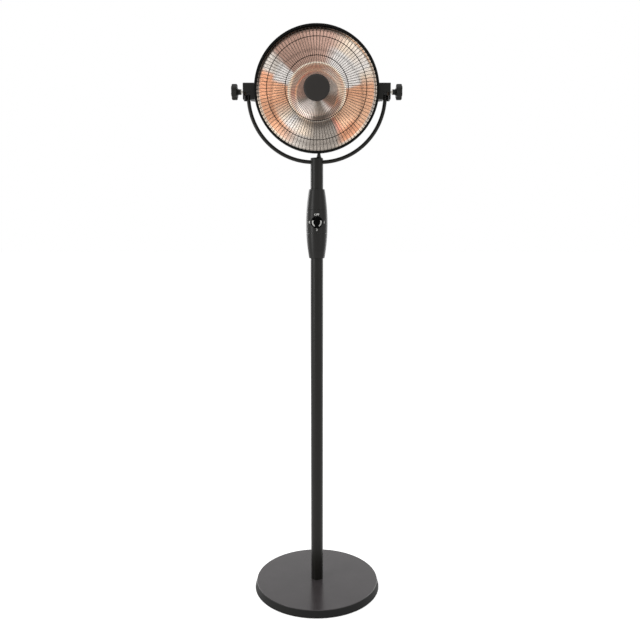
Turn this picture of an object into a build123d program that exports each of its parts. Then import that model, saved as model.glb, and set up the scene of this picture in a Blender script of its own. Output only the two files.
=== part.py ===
"""Free-standing infrared patio heater: a round dish head in a yoke, on a pole with a round weighted base.

Millimetres, +Z up, origin on the floor under the middle of the base. The front faces -Y and +X is right.
The head is drawn about its own axis (local +Z is forward, local +Y is up) and then stood up on the pivot.
Depths in the head are measured back from the front edge of its rim.
"""

import math
import os

from build123d import *

# ---- driving dimensions ------------------------------------------------------------------------------

HEAD_DIAMETER = 380.0
PIVOT_HEIGHT = 1623.0
TUBE_DIAMETER = 40.0
TUBE_WALL = 2.0
YOKE_BAR = 12.0
YOKE_GAP = 21.5            # from the rim to the centreline of the yoke's bar
YOKE_RISE = 12.0           # straight stretch of the bar below each eye
YOKE_FLAT = 11.5           # half the straight stretch of the bar that lies in the pole
STUD_DIAMETER = 8.0
BASE_DIAMETER = 418.0
BASE_HEIGHT = 26.0
HOUSING_CENTRE = 1219.0
HOUSING_LENGTH = 216.0
DIAL_DIAMETER = 38.5
LEAD_DIAMETER = 7.0
SHEET = 1.2

FIT = 0.05                 # radial clearance of a shaft in its bore
SEAT = 0.2                 # gap between pieces that sit in or on each other
RUN = 0.3                  # gap between flat faces that turn past each other

HEAD_RADIUS = HEAD_DIAMETER / 2
TUBE_RADIUS = TUBE_DIAMETER / 2
BAR_RADIUS = YOKE_BAR / 2
STUD_RADIUS = STUD_DIAMETER / 2
LEAD_RADIUS = LEAD_DIAMETER / 2
BORE_RADIUS = TUBE_RADIUS - TUBE_WALL

# ---- the head's rim, dish and shell, as radius and depth behind the rim's front edge -----------------

RIM_FORWARD = 51.0         # rim's front edge, forward of the pivot axis
RIM_DEPTH = 14.0
RIM_SHEET = 1.5
LIP_WIDTH = 7.5            # front lip of the rim, seen from the front
FLANGE_REACH = 1.8         # the dish's and shell's flanges stop this far inside the rim
REFLECTOR_SHEET = 1.0
REFLECTOR_FLANGE_DEPTH = 6.6
DISH_EDGE_DEPTH = 15.0
BEAD_RADIUS = 88.0
BEAD_DEPTH = 53.0
BEAD_SECTION = 2.2
WELL_RADIUS = 67.0
WELL_DEPTH = 80.0
FLOOR_DEPTH = 86.0
SHELL_BACK_DEPTH = 104.0
SHELL_BACK_RADIUS = 60.0
SHELL_BULGE = 9.0          # how far the shell's curve stands proud of a straight cone
VENT_COUNT = 24
RIM_SCREW_COUNT = 6

SHELL_FLANGE_DEPTH = REFLECTOR_FLANGE_DEPTH + REFLECTOR_SHEET
SHELL_WALL_RADIUS = HEAD_RADIUS - LIP_WIDTH - 0.1
SHELL_TURN_DEPTH = RIM_DEPTH + 1.0

# ---- grille and hub ----------------------------------------------------------------------------------

WIRE_COUNT = 100
WIRE_RADIUS = 0.8
RING_WIRE_RADIUS = 1.1
FRAME_WIRE_RADIUS = 2.0
HUB_WIRE_RADIUS = 1.1
RING_RADII = (95.0, 151.0)
HUB_RING_RADIUS = 31.5
HUB_FORWARD = 17.4         # the wires at the hub, in front of the rim's front edge
SHOULDER_DROP = 10.4       # how far the wires fall back between the hub and their shoulder
SHOULDER_INSET = 30.0      # the shoulder, inside the rim
WIRE_END_DEPTH = 5.4
HUB_CAP_RADIUS = 39.5
HUB_CAP_THICKNESS = 3.4

# ---- pivots ------------------------------------------------------------------------------------------

TILT_UP = 30.0
BLOCK_DEPTH = 40.0
BLOCK_HEIGHT = 50.0
BLOCK_INNER_WALL = 7.9
BLOCK_OUTER_WALL = 4.5
DISC_THICKNESS = 4.4
EYE_RADIUS = 11.0
SLOT_DROP = 3.0            # top of the slot's open part, below the axis
WEB_DEPTH = 6.0            # wall that closes the slot's outer strip at the back, beside the bar
INSERT_RADIUS = 6.0
INSERT_LENGTH = 13.0
STUD_ENGAGED = 7.0
STUD_SHOWN = 7.0
WASHER_THICKNESS = 1.6
NECK_RADIUS = 8.4
NECK_LENGTH = 11.0
GRIP_RADIUS = 24.0
GRIP_THICKNESS = 18.0
GRIP_LOBES = 6

YOKE_REACH = HEAD_RADIUS + YOKE_GAP
YOKE_BEND = YOKE_REACH - YOKE_FLAT
YOKE_CENTRE = PIVOT_HEIGHT - YOKE_RISE
YOKE_BOTTOM = YOKE_CENTRE - YOKE_BEND
SLOT_IN = YOKE_REACH - BAR_RADIUS - 2 * RUN
BAR_IN_BLOCK = BLOCK_HEIGHT / 2 / math.cos(math.radians(TILT_UP)) - YOKE_RISE
BAR_DRIFT = YOKE_BEND - math.sqrt(YOKE_BEND ** 2 - BAR_IN_BLOCK ** 2)
WEB_IN = YOKE_REACH + BAR_RADIUS + 2 * RUN
SLOT_OUT = WEB_IN + DISC_THICKNESS
BLOCK_IN = SLOT_IN - BLOCK_INNER_WALL
BLOCK_OUT = SLOT_OUT + BLOCK_OUTER_WALL
NECK_FACE = BLOCK_OUT + STUD_SHOWN

# ---- element, junction box and brackets --------------------------------------------------------------

CORE_RADIUS = 11.0
CORE_FRONT_DEPTH = 24.0
COIL_WIRE = 2.0
COIL_TURNS = 14
COIL_PITCH = 3.2
ELEMENT_LEAD_X = 5.5
ELEMENT_LEAD_RADIUS = 1.6
STRIP_GAP = 12.0           # from the shell's flat back to the terminal strip in the junction box

BOX_WIDTH = 96.0
BOX_HEIGHT = 82.0
BOX_DEPTH = 38.0
BOX_WALL = 2.5
BOX_CORNER = 12.0
HEAD_GLAND_LENGTH = 20.0
HEAD_GLAND_BACK = 23.0     # from the shell's flat back to the gland's axis
CABLE_HOLE = 9.0

SHELL_BACK_Y = SHELL_BACK_DEPTH - RIM_FORWARD
BOX_LOW = PIVOT_HEIGHT - BOX_HEIGHT / 2

BRACKET_SCREW_HEIGHT = 17.0
BRACKET_SCREW_DEPTH = 13.0
RIVET_DEPTHS = (44.0, 58.0)
RIVET_TURN = 7.0

# ---- pole and boot -----------------------------------------------------------------------------------

CAP_HEIGHT = 4.0
CAP_CHAMFER = 2.0
CAP_PLUG = 2.2
CAP_OVER_BAR = 0.5         # from the yoke's bar to the plug under the cap
CAP_TOP = YOKE_BOTTOM + BAR_RADIUS + CAP_OVER_BAR + CAP_PLUG + CAP_HEIGHT
UPPER_TUBE_TOP = CAP_TOP - CAP_HEIGHT
BOOT_X = 6.5
BOOT_Y = BAR_RADIUS + LEAD_RADIUS + 0.5
BOOT_LEAN = 25.0
BOOT_LENGTH = 18.0
BOOT_BASE_RADIUS = 8.8
BOOT_TIP_RADIUS = 4.5
BOOT_STEM_RADIUS = 5.0

# ---- control housing ---------------------------------------------------------------------------------

HOUSING_END_RADIUS = TUBE_RADIUS + 4.6
HOUSING_SWELL = 9.3
HOUSING_WALL = 2.5
BAND_LOW = HOUSING_CENTRE - 30.0
BAND_HIGH = HOUSING_CENTRE + 44.0
SEAM = 0.5
GROOVE_BELOW_CENTRE = 82.0
DIAL_HEIGHT = HOUSING_CENTRE + 5.0
DIAL_THICKNESS = 6.0
DIAL_GRIP_RISE = 7.0
DIAL_SINK = 1.2            # the dial's face is dished by this much
DIAL_SEAT_RADIUS = 17.5
SHAFT_RADIUS = 3.0
SWITCH_SIZE = 24.0
SWITCH_DEPTH = 20.0
BUSHING_RADIUS = 5.0
NUT_THICKNESS = 2.4
WINDOW_MARGIN = 3.0
COUPLER_WALL = 2.0
COUPLER_LAP = 60.0         # how far the coupler reaches into each tube
TUBE_INSET = 8.0           # the tubes' ends, beyond the control band's seams

HOUSING_RADIUS = HOUSING_END_RADIUS + HOUSING_SWELL
HOUSING_LOW = HOUSING_CENTRE - HOUSING_LENGTH / 2
HOUSING_HIGH = HOUSING_CENTRE + HOUSING_LENGTH / 2
LOWER_TUBE_TOP = BAND_LOW - TUBE_INSET
UPPER_TUBE_LOW = BAND_HIGH + TUBE_INSET
COUPLER_RADIUS = BORE_RADIUS - SEAT
COUPLER_BORE = COUPLER_RADIUS - COUPLER_WALL
DIAL_SEAT_Y = -(HOUSING_RADIUS + 1.2)
MODULE_HEIGHT = 24.0
TERMINALS_LOW = DIAL_HEIGHT - SWITCH_SIZE / 2 - 30.0
SENSOR_LOW = TERMINALS_LOW - MODULE_HEIGHT - 1.0

# ---- base --------------------------------------------------------------------------------------------

BASE_SLOPE = 6.0           # the edge leans in this much from bottom to top
BASE_SHEET = 1.5
BASE_EDGE_LIFT = 2.0
FOOT_THICKNESS = 3.0
FOOT_RADIUS = 14.0
FOOT_COUNT = 6
FOOT_CIRCLE = 175.0
UNDER_PLATE = 2.0
BOLT_RADIUS = 5.0
BOLT_HEAD_RADIUS = 9.0
BOLT_HEAD_HEIGHT = 6.0
BOLT_POCKET_RADIUS = 14.0
SOCKET_HEIGHT = 40.0
GLAND_HEIGHT = 95.0
GLAND_BORE = LEAD_RADIUS + 0.2

BASE_RADIUS = BASE_DIAMETER / 2
BASE_TOP_RADIUS = BASE_RADIUS - BASE_SLOPE

# ---- helpers -----------------------------------------------------------------------------------------

FROM_START = (Align.CENTER, Align.CENTER, Align.MIN)
HEAD = Pos(0, 0, PIVOT_HEIGHT) * Rot(90, 0, 0)


def turned(*outline):
    """A solid of revolution about Z from (radius, height) corners."""
    points = [(r, 0, z) for r, z in outline]
    return revolve(make_face(Polyline(*points, close=True)), Axis.Z, 360)


def turned_edges(*edges):
    """A solid of revolution about Z from the edges of a closed outline in the XZ plane."""
    return revolve(make_face(list(edges)), Axis.Z, 360)


def at(radius, depth):
    """A point of the head's outline: radius, and depth behind the rim's front edge."""
    return (radius, 0, RIM_FORWARD - depth)


def path_of(*points):
    """Straight edges through points given as (radius, depth) in the head."""
    return [Line(at(*a), at(*b)) for a, b in zip(points, points[1:])]


def rod(start, end, radius):
    """A round bar between two points."""
    along = Vector(*end) - Vector(*start)
    return Plane(origin=start, z_dir=along) * Cylinder(radius, along.length, align=FROM_START)


def hex_bar(start, end, across_flats):
    """A six-sided bar between two points."""
    along = Vector(*end) - Vector(*start)
    section = RegularPolygon(across_flats / math.sqrt(3), 6)
    return extrude(Plane(origin=start, z_dir=along) * section, along.length)


def around(count, first=0.0):
    """Turns about Z that share out a full circle."""
    return [Rot(0, 0, first + 360.0 * i / count) for i in range(count)]


def both_sides(right):
    """The piece on the right and its mirror image on the left."""
    return [right, mirror(right, about=Plane.YZ)]


def group(pieces):
    """Separate solids that share one node."""
    return Compound([solid for piece in pieces for solid in piece.solids()])


def pan_screw(start, end, radius, head_radius, head_height):
    """A screw whose round head stands outside start and whose shank ends at end."""
    way = (Vector(*end) - Vector(*start)).normalized()
    top = Vector(*start) - way * head_height
    head = rod(tuple(top), start, head_radius)
    head = chamfer(head.faces().sort_by(Axis(start, tuple(way)))[0].edges(), head_height / 4)
    socket = hex_bar(tuple(top), tuple(top + way * head_height * 0.55), head_radius * 0.9)
    return head - socket + rod(start, end, radius)


# ---- base --------------------------------------------------------------------------------------------


def base_pieces():
    low = FOOT_THICKNESS
    plate_top = low + UNDER_PLATE
    roof = BASE_HEIGHT - BASE_SHEET
    lean = BASE_SLOPE / (BASE_HEIGHT - BASE_EDGE_LIFT)
    bolt_hole = BOLT_RADIUS + SEAT

    cover = turned(
        (BASE_RADIUS, BASE_EDGE_LIFT), (BASE_TOP_RADIUS, BASE_HEIGHT), (bolt_hole, BASE_HEIGHT),
        (bolt_hole, roof), (BASE_TOP_RADIUS - BASE_SHEET, roof),
        (BASE_RADIUS - BASE_SHEET, BASE_EDGE_LIFT),
    )
    top_edge = cover.edges().filter_by_position(Axis.Z, BASE_HEIGHT - 0.01, BASE_HEIGHT + 0.01)
    cover = fillet(top_edge.sort_by(SortBy.RADIUS)[-1], BASE_SHEET * 0.8)

    weight_low = BASE_TOP_RADIUS - BASE_SHEET + lean * (roof - plate_top) - 2.0
    pocket_roof = plate_top + BOLT_HEAD_HEIGHT + 2.0
    weight = turned(
        (BOLT_POCKET_RADIUS, plate_top), (weight_low, plate_top),
        (BASE_TOP_RADIUS - BASE_SHEET - 2.0, roof), (bolt_hole, roof),
        (bolt_hole, pocket_roof), (BOLT_POCKET_RADIUS, pocket_roof),
    )
    plate_radius = BASE_RADIUS - BASE_SHEET - 1.5
    plate = turned(
        (BOLT_POCKET_RADIUS, low), (plate_radius, low), (plate_radius, plate_top),
        (BOLT_POCKET_RADIUS, plate_top)
    )

    screw_circle = FOOT_CIRCLE - 2 * FOOT_RADIUS
    screw_length = (roof - low) / 2
    screw = pan_screw((screw_circle, 0, low), (screw_circle, 0, low + screw_length), 2.0, 4.0, 2.2)
    screws = [turn * screw for turn in around(FOOT_COUNT, 30)]
    holes = [turn * rod((screw_circle, 0, low - 1), (screw_circle, 0, low + screw_length + 1), 2.0 + FIT)
             for turn in around(FOOT_COUNT, 30)]
    plate -= holes
    weight -= holes

    foot = rod((FOOT_CIRCLE, 0, 0), (FOOT_CIRCLE, 0, low), FOOT_RADIUS)
    foot = chamfer(foot.edges().sort_by(Axis.Z)[0], 0.8)
    feet = [turn * foot for turn in around(FOOT_COUNT)]

    socket_top = BASE_HEIGHT + SOCKET_HEIGHT
    socket_bore = BOLT_RADIUS + FIT
    socket = turned(
        (socket_bore, BASE_HEIGHT), (COUPLER_RADIUS, BASE_HEIGHT), (COUPLER_RADIUS, socket_top),
        (socket_bore, socket_top),
    )
    bolt = hex_bar((0, 0, pocket_roof - BOLT_HEAD_HEIGHT), (0, 0, pocket_roof),
                   2 * BOLT_HEAD_RADIUS * 0.9)
    bolt += Pos(0, 0, pocket_roof - 1.5) * Cylinder(BOLT_POCKET_RADIUS - 1, 1.5, align=FROM_START)
    bolt += rod((0, 0, pocket_roof), (0, 0, socket_top - 4), BOLT_RADIUS)
    return {
        "base_cover": cover, "base_weight": weight, "base_under_plate": plate,
        "under_plate_screws": group(screws),
        "base_feet": group(feet), "base_bolt": bolt, "pole_socket": socket,
    }


# ---- pole --------------------------------------------------------------------------------------------


def yoke_solid(bar_radius):
    """The yoke's bent bar, without its eyes: two quarter circles, straight at the ends and in the pole."""
    half_way = math.sqrt(0.5) * YOKE_BEND

    def bend(side):
        """The side's quarter circle, as its upper end, middle and lower end."""
        return [(side * YOKE_REACH, 0, YOKE_CENTRE),
                (side * (YOKE_FLAT + half_way), 0, YOKE_CENTRE - half_way),
                (side * YOKE_FLAT, 0, YOKE_BOTTOM)]

    right, left = bend(1), bend(-1)
    path = Wire([
        Line((YOKE_REACH, 0, PIVOT_HEIGHT), right[0]), ThreePointArc(*right), Line(right[2], left[2]),
        ThreePointArc(*reversed(left)), Line(left[0], (-YOKE_REACH, 0, PIVOT_HEIGHT)),
    ])
    return sweep(Plane(origin=path @ 0, z_dir=path % 0) * Circle(bar_radius), path=path)


def tube(low, high):
    """A stretch of pole tube."""
    return turned((BORE_RADIUS, low), (TUBE_RADIUS, low), (TUBE_RADIUS, high), (BORE_RADIUS, high))


def pole_pieces():
    screw_radius = 2.5
    lower = tube(BASE_HEIGHT, LOWER_TUBE_TOP)
    upper = tube(UPPER_TUBE_LOW, UPPER_TUBE_TOP)
    coupler = turned(
        (COUPLER_BORE, LOWER_TUBE_TOP - COUPLER_LAP), (COUPLER_RADIUS, LOWER_TUBE_TOP - COUPLER_LAP),
        (COUPLER_RADIUS, UPPER_TUBE_LOW + COUPLER_LAP), (COUPLER_BORE, UPPER_TUBE_LOW + COUPLER_LAP),
    )
    window = SWITCH_SIZE + 2 * WINDOW_MARGIN
    coupler -= Pos(0, -COUPLER_RADIUS, DIAL_HEIGHT) * Box(window, 2 * COUPLER_RADIUS, window)

    screws = []
    for height in (LOWER_TUBE_TOP - COUPLER_LAP / 2, UPPER_TUBE_LOW + COUPLER_LAP / 2):
        for side in (-1, 1):
            start = (0, side * TUBE_RADIUS, height)
            end = (0, side * (COUPLER_BORE - 1), height)
            screws.append(pan_screw(start, end, screw_radius, 4.5, 2.6))
            hole = rod((0, side * (TUBE_RADIUS + 1), height), end, screw_radius + FIT)
            lower -= hole
            upper -= hole
            coupler -= hole

    yoke = yoke_solid(BAR_RADIUS)
    eye_half = BAR_RADIUS - SEAT
    eye = rod((YOKE_REACH - eye_half, 0, PIVOT_HEIGHT), (YOKE_REACH + eye_half, 0, PIVOT_HEIGHT), EYE_RADIUS)
    hole = rod((YOKE_REACH - YOKE_BAR, 0, PIVOT_HEIGHT), (YOKE_REACH + YOKE_BAR, 0, PIVOT_HEIGHT),
               STUD_RADIUS + FIT)
    yoke = yoke + both_sides(eye) - both_sides(hole)
    upper -= yoke_solid(BAR_RADIUS + RUN)

    lock_start = (0, TUBE_RADIUS, YOKE_BOTTOM)
    lock_end = (0, -BAR_RADIUS / 2, YOKE_BOTTOM)
    screws.append(pan_screw(lock_start, lock_end, screw_radius, 4.5, 2.6))
    lock_hole = rod((0, TUBE_RADIUS + 1, YOKE_BOTTOM), lock_end, screw_radius + FIT)
    upper -= lock_hole
    yoke -= lock_hole

    plug_low = UPPER_TUBE_TOP - CAP_PLUG
    cap = turned(
        (0, plug_low), (COUPLER_RADIUS, plug_low), (COUPLER_RADIUS, UPPER_TUBE_TOP),
        (TUBE_RADIUS, UPPER_TUBE_TOP),
        (TUBE_RADIUS, CAP_TOP - CAP_CHAMFER), (TUBE_RADIUS - CAP_CHAMFER, CAP_TOP), (0, CAP_TOP),
    )
    cap -= rod((BOOT_X, BOOT_Y, plug_low - 1), (BOOT_X, BOOT_Y, CAP_TOP + 1), BOOT_STEM_RADIUS + FIT)
    lead_top = (BOOT_X, BOOT_Y, plug_low)
    lead_low = (BOOT_X, BOOT_Y, TERMINALS_LOW + MODULE_HEIGHT)

    stem, flange = GLAND_BORE + 2.3, GLAND_BORE + 5.3
    gland = turned((GLAND_BORE, -6), (stem, -6), (stem, -3), (flange, -3), (flange, 4), (stem + 0.5, 16),
                   (GLAND_BORE, 16))
    gland = Pos(0, TUBE_RADIUS, GLAND_HEIGHT) * Rot(-90, 0, 0) * gland
    tube_body = Cylinder(TUBE_RADIUS + FIT, 4 * flange) - Cylinder(stem, 4 * TUBE_RADIUS,
                                                                   rotation=(90, 0, 0))
    gland -= Pos(0, 0, GLAND_HEIGHT) * tube_body
    lower -= rod((0, 0, GLAND_HEIGHT), (0, TUBE_RADIUS + 2, GLAND_HEIGHT), stem + FIT)
    return {
        "lower_tube": lower, "upper_tube": upper, "tube_coupler": coupler, "pole_screws": group(screws),
        "yoke": yoke, "pole_cap": cap,
        "cable_boot": boot(), "upper_lead": rod(lead_low, lead_top, LEAD_RADIUS), "mains_gland": gland,
    }


def boot():
    """The leaning rubber cone where the head's lead leaves the pole cap, with its stem."""
    flare = BOOT_BASE_RADIUS - BOOT_TIP_RADIUS
    sunk = 6.0
    cone = turned_edges(
        Line((0, 0, -sunk), (BOOT_BASE_RADIUS, 0, -sunk)),
        Line((BOOT_BASE_RADIUS, 0, -sunk), (BOOT_BASE_RADIUS, 0, 0)),
        ThreePointArc(
            (BOOT_BASE_RADIUS, 0, 0),
            (BOOT_TIP_RADIUS + flare * 0.4, 0, BOOT_LENGTH * 0.5),
            (BOOT_TIP_RADIUS, 0, BOOT_LENGTH),
        ),
        Line((BOOT_TIP_RADIUS, 0, BOOT_LENGTH), (0, 0, BOOT_LENGTH)),
        Line((0, 0, BOOT_LENGTH), (0, 0, -sunk)),
    )
    cone = Pos(BOOT_X, BOOT_Y, CAP_TOP) * Rot(-BOOT_LEAN, 0, 0) * cone
    cone -= Pos(BOOT_X, BOOT_Y, CAP_TOP) * Box(60, 60, 60, align=(Align.CENTER, Align.CENTER, Align.MAX))
    stem_low = UPPER_TUBE_TOP - CAP_PLUG
    return cone + rod((BOOT_X, BOOT_Y, stem_low), (BOOT_X, BOOT_Y, CAP_TOP + 0.5), BOOT_STEM_RADIUS)


# ---- control housing ---------------------------------------------------------------------------------


def barrel(inset, low, high):
    """The housing's barrel between two heights, moved in by inset: one arc, fullest at its centre."""
    half = HOUSING_LENGTH / 2
    arc_radius = (half ** 2 + HOUSING_SWELL ** 2) / (2 * HOUSING_SWELL)

    def radius(z):
        rise = z - HOUSING_CENTRE
        return HOUSING_RADIUS - inset - arc_radius + math.sqrt(arc_radius ** 2 - rise ** 2)

    middle = (low + high) / 2
    return turned_edges(
        Line((0, 0, low), (radius(low), 0, low)),
        ThreePointArc((radius(low), 0, low), (radius(middle), 0, middle), (radius(high), 0, high)),
        Line((radius(high), 0, high), (0, 0, high)),
        Line((0, 0, high), (0, 0, low)),
    )


def sleeve(low, high, closed_at):
    """One end of the housing: a barrel shell with a floor at its outer end, which grips the tube."""
    inner_low = low + HOUSING_WALL if closed_at == low else low
    inner_high = high - HOUSING_WALL if closed_at == high else high
    shell = barrel(0, low, high) - barrel(HOUSING_WALL, inner_low, inner_high)
    end_edges = shell.edges().filter_by_position(Axis.Z, closed_at - 0.01, closed_at + 0.01)
    shell = fillet(end_edges.sort_by(SortBy.RADIUS)[-1], 1.0)
    return shell - Pos(0, 0, (low + high) / 2) * Cylinder(TUBE_RADIUS + SEAT, high - low + 2)


def housing_pieces():
    seam = SEAM / 2
    upper = sleeve(BAND_HIGH + seam, HOUSING_HIGH, HOUSING_HIGH)
    lower = sleeve(HOUSING_LOW, BAND_LOW - seam, HOUSING_LOW)
    groove = HOUSING_CENTRE - GROOVE_BELOW_CENTRE
    lower -= barrel(-5, groove - seam, groove + seam) - barrel(0.5, groove - 1, groove + 1)

    band_low, band_high = BAND_LOW + seam, BAND_HIGH - seam
    full = barrel(0, band_low, band_high)
    shell = full - barrel(HOUSING_WALL, band_low - 1, band_high + 1)
    boss_in = COUPLER_RADIUS + SEAT
    boss_x = (COUPLER_RADIUS + HOUSING_RADIUS) / 2
    boss = Pos(boss_in, 0, HOUSING_CENTRE) * Box(20, 34, 9, align=(Align.MIN, Align.CENTER, Align.CENTER))
    shell += [full & piece for piece in both_sides(boss)]
    seat = rod((0, DIAL_SEAT_Y, DIAL_HEIGHT), (0, -HOUSING_RADIUS * 0.8, DIAL_HEIGHT), DIAL_SEAT_RADIUS)
    half_space = Box(200, 100, 300, align=(Align.CENTER, Align.MAX, Align.CENTER))
    front_half = Pos(0, -SEAT / 2, HOUSING_CENTRE) * half_space
    rear_half = Pos(0, SEAT / 2, HOUSING_CENTRE) * mirror(half_space, about=Plane.XZ)
    front = (shell & front_half) + (seat - barrel(HOUSING_WALL, band_low, band_high))
    rear = shell & rear_half

    screws = []
    for side in (-1, 1):
        seat_y = 12.0
        start = (side * boss_x, seat_y, HOUSING_CENTRE)
        end = (side * boss_x, -10, HOUSING_CENTRE)
        screws.append(pan_screw(start, end, 1.5, 2.8, 2.0))
        rear -= rod(start, (side * boss_x, HOUSING_RADIUS, HOUSING_CENTRE), 3.2)
        hole = rod((side * boss_x, seat_y + 1, HOUSING_CENTRE), (side * boss_x, -11, HOUSING_CENTRE),
                   1.5 + FIT)
        rear -= hole
        front -= hole

    wall_back = -(HOUSING_RADIUS - HOUSING_WALL) + 0.8
    switch_y = wall_back + SWITCH_DEPTH / 2
    switch = Pos(0, switch_y, DIAL_HEIGHT) * Box(SWITCH_SIZE, SWITCH_DEPTH, SWITCH_SIZE)
    switch = chamfer(switch.edges().filter_by(Axis.Y), 3.0)
    bushing_y = DIAL_SEAT_Y - NUT_THICKNESS - 0.4
    switch += rod((0, bushing_y, DIAL_HEIGHT), (0, wall_back + 1, DIAL_HEIGHT), BUSHING_RADIUS)
    shaft_in = wall_back + SWITCH_DEPTH * 0.6
    switch -= rod((0, bushing_y - 1, DIAL_HEIGHT), (0, shaft_in + 1, DIAL_HEIGHT), SHAFT_RADIUS + FIT)
    blade = Box(1, 6, 5)
    switch += [Pos(x, wall_back + SWITCH_DEPTH + 2.5, DIAL_HEIGHT) * blade for x in (-7, 0, 7)]
    front -= rod((0, DIAL_SEAT_Y - 1, DIAL_HEIGHT), (0, wall_back + 1, DIAL_HEIGHT),
                 BUSHING_RADIUS + SEAT)
    front -= Pos(0, wall_back + 25, DIAL_HEIGHT) * Box(SWITCH_SIZE + 2 * SEAT, 50, SWITCH_SIZE + 2 * SEAT)
    nut = hex_bar((0, DIAL_SEAT_Y - NUT_THICKNESS, DIAL_HEIGHT), (0, DIAL_SEAT_Y, DIAL_HEIGHT), 13)
    nut -= rod((0, DIAL_SEAT_Y - 5, DIAL_HEIGHT), (0, DIAL_SEAT_Y + 1, DIAL_HEIGHT), BUSHING_RADIUS + FIT)

    knob, shaft = dial(shaft_in)
    width = COUPLER_BORE * 0.88
    depth = math.sqrt((COUPLER_BORE - SEAT) ** 2 - (width / 2) ** 2)
    module = Box(width, depth * 0.75, MODULE_HEIGHT, align=(Align.CENTER, Align.MAX, Align.MIN))
    terminals = Pos(0, depth, TERMINALS_LOW) * module
    terminals -= [Pos(x, depth * 0.6, TERMINALS_LOW) * Cylinder(1.6, 9, align=FROM_START)
                  for x in (-4, 4)]
    sensor = Pos(0, depth, SENSOR_LOW) * module
    sensor = fillet(sensor.edges().filter_by(Axis.Z), 1.5)
    return {
        "housing_upper_sleeve": upper, "housing_lower_sleeve": lower, "control_band_front": front,
        "control_band_rear": rear, "band_screws": group(screws), "rotary_switch": switch,
        "switch_nut": nut,
        "dial_knob": knob, "dial_shaft": shaft, "terminal_block": terminals, "tilt_sensor": sensor,
    }


def dial(shaft_in):
    """The dial: a round cup with a grip bar across it, and the switch's shaft that carries it."""
    radius = DIAL_DIAMETER / 2
    back = RUN * 2
    knob = turned_edges(
        Line((0, 0, back), (radius - 1, 0, back)),
        ThreePointArc((radius - 1, 0, back), (radius - 0.3, 0, back + 0.3), (radius, 0, back + 1)),
        Line((radius, 0, back + 1), (radius - 0.8, 0, back + DIAL_THICKNESS - 1)),
        ThreePointArc(
            (radius - 0.8, 0, back + DIAL_THICKNESS - 1),
            (radius - 1.2, 0, back + DIAL_THICKNESS - 0.3),
            (radius - 2, 0, back + DIAL_THICKNESS),
        ),
        ThreePointArc(
            (radius - 2, 0, back + DIAL_THICKNESS),
            (radius * 0.6, 0, back + DIAL_THICKNESS - DIAL_SINK * 0.75),
            (0, 0, back + DIAL_THICKNESS - DIAL_SINK),
        ),
        Line((0, 0, back + DIAL_THICKNESS - DIAL_SINK), (0, 0, back)),
    )
    grip = extrude(SlotOverall(2 * radius - 3, 9, rotation=90), DIAL_THICKNESS + DIAL_GRIP_RISE - 2)
    grip = Pos(0, 0, back + 2) * fillet(grip.faces().sort_by(Axis.Z)[-1].edges(), 1.6)
    knob += grip
    knob -= Cylinder(9.0, 2 * (back + NUT_THICKNESS + 0.8))
    shaft_front = back + DIAL_THICKNESS + 2
    knob -= Cylinder(SHAFT_RADIUS + FIT, 2 * shaft_front)
    place = Pos(0, DIAL_SEAT_Y, DIAL_HEIGHT) * Rot(90, 0, 0)
    shaft = rod((0, DIAL_SEAT_Y - shaft_front + 0.5, DIAL_HEIGHT), (0, shaft_in, DIAL_HEIGHT),
                SHAFT_RADIUS)
    return place * knob, shaft


# ---- head: dish, shell and rim -----------------------------------------------------------------------


def dish_depth(radius):
    """Depth of the reflector's parabola at a radius, between its edge and its bead."""
    edge = dish_edge_radius()
    rise = (edge ** 2 - radius ** 2) / (edge ** 2 - BEAD_RADIUS ** 2)
    return DISH_EDGE_DEPTH + (BEAD_DEPTH - DISH_EDGE_DEPTH) * rise


def dish_edge_radius():
    return HEAD_RADIUS - LIP_WIDTH - 4.5


def reflector():
    """The bright dish: flange, wall, parabola, bead ring, well and floor with the element's hole."""
    flange = HEAD_RADIUS - FLANGE_REACH
    edge = dish_edge_radius()
    wall = edge + 1.5
    half_bead = BEAD_SECTION
    hole = 18.0

    def skin(back):
        """The dish's outline from its flange to the hole, moved out by the sheet's thickness or by 0."""
        out = REFLECTOR_SHEET if back else 0.0
        slant = 1.15 * out
        bead_out, bead_in = BEAD_RADIUS + half_bead, BEAD_RADIUS - half_bead
        middle = (edge + bead_out) / 2
        bead_foot = dish_depth(bead_out)
        return [
            *path_of((flange, REFLECTOR_FLANGE_DEPTH + out), (wall + out, REFLECTOR_FLANGE_DEPTH + out),
                     (edge + out, DISH_EDGE_DEPTH + slant)),
            ThreePointArc(at(edge + out, DISH_EDGE_DEPTH + slant), at(middle, dish_depth(middle) + slant),
                          at(bead_out, bead_foot + slant)),
            ThreePointArc(at(bead_out, bead_foot + slant), at(BEAD_RADIUS, bead_foot - half_bead + slant),
                          at(bead_in, bead_foot + slant)),
            *path_of((bead_in, bead_foot + slant), (WELL_RADIUS, WELL_DEPTH + slant)),
            ThreePointArc(at(WELL_RADIUS, WELL_DEPTH + slant),
                          at(WELL_RADIUS * 0.75, FLOOR_DEPTH - 1.2 + slant),
                          at(WELL_RADIUS * 0.45, FLOOR_DEPTH + slant)),
            *path_of((WELL_RADIUS * 0.45, FLOOR_DEPTH + slant), (hole, FLOOR_DEPTH + slant)),
        ]

    slant = 1.15 * REFLECTOR_SHEET
    ends = [
        Line(at(flange, REFLECTOR_FLANGE_DEPTH), at(flange, REFLECTOR_FLANGE_DEPTH + REFLECTOR_SHEET)),
        Line(at(hole, FLOOR_DEPTH), at(hole, FLOOR_DEPTH + slant)),
    ]
    dish = turned_edges(*skin(False), *skin(True), *ends)
    return dish - rim_screw_holes()


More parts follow.
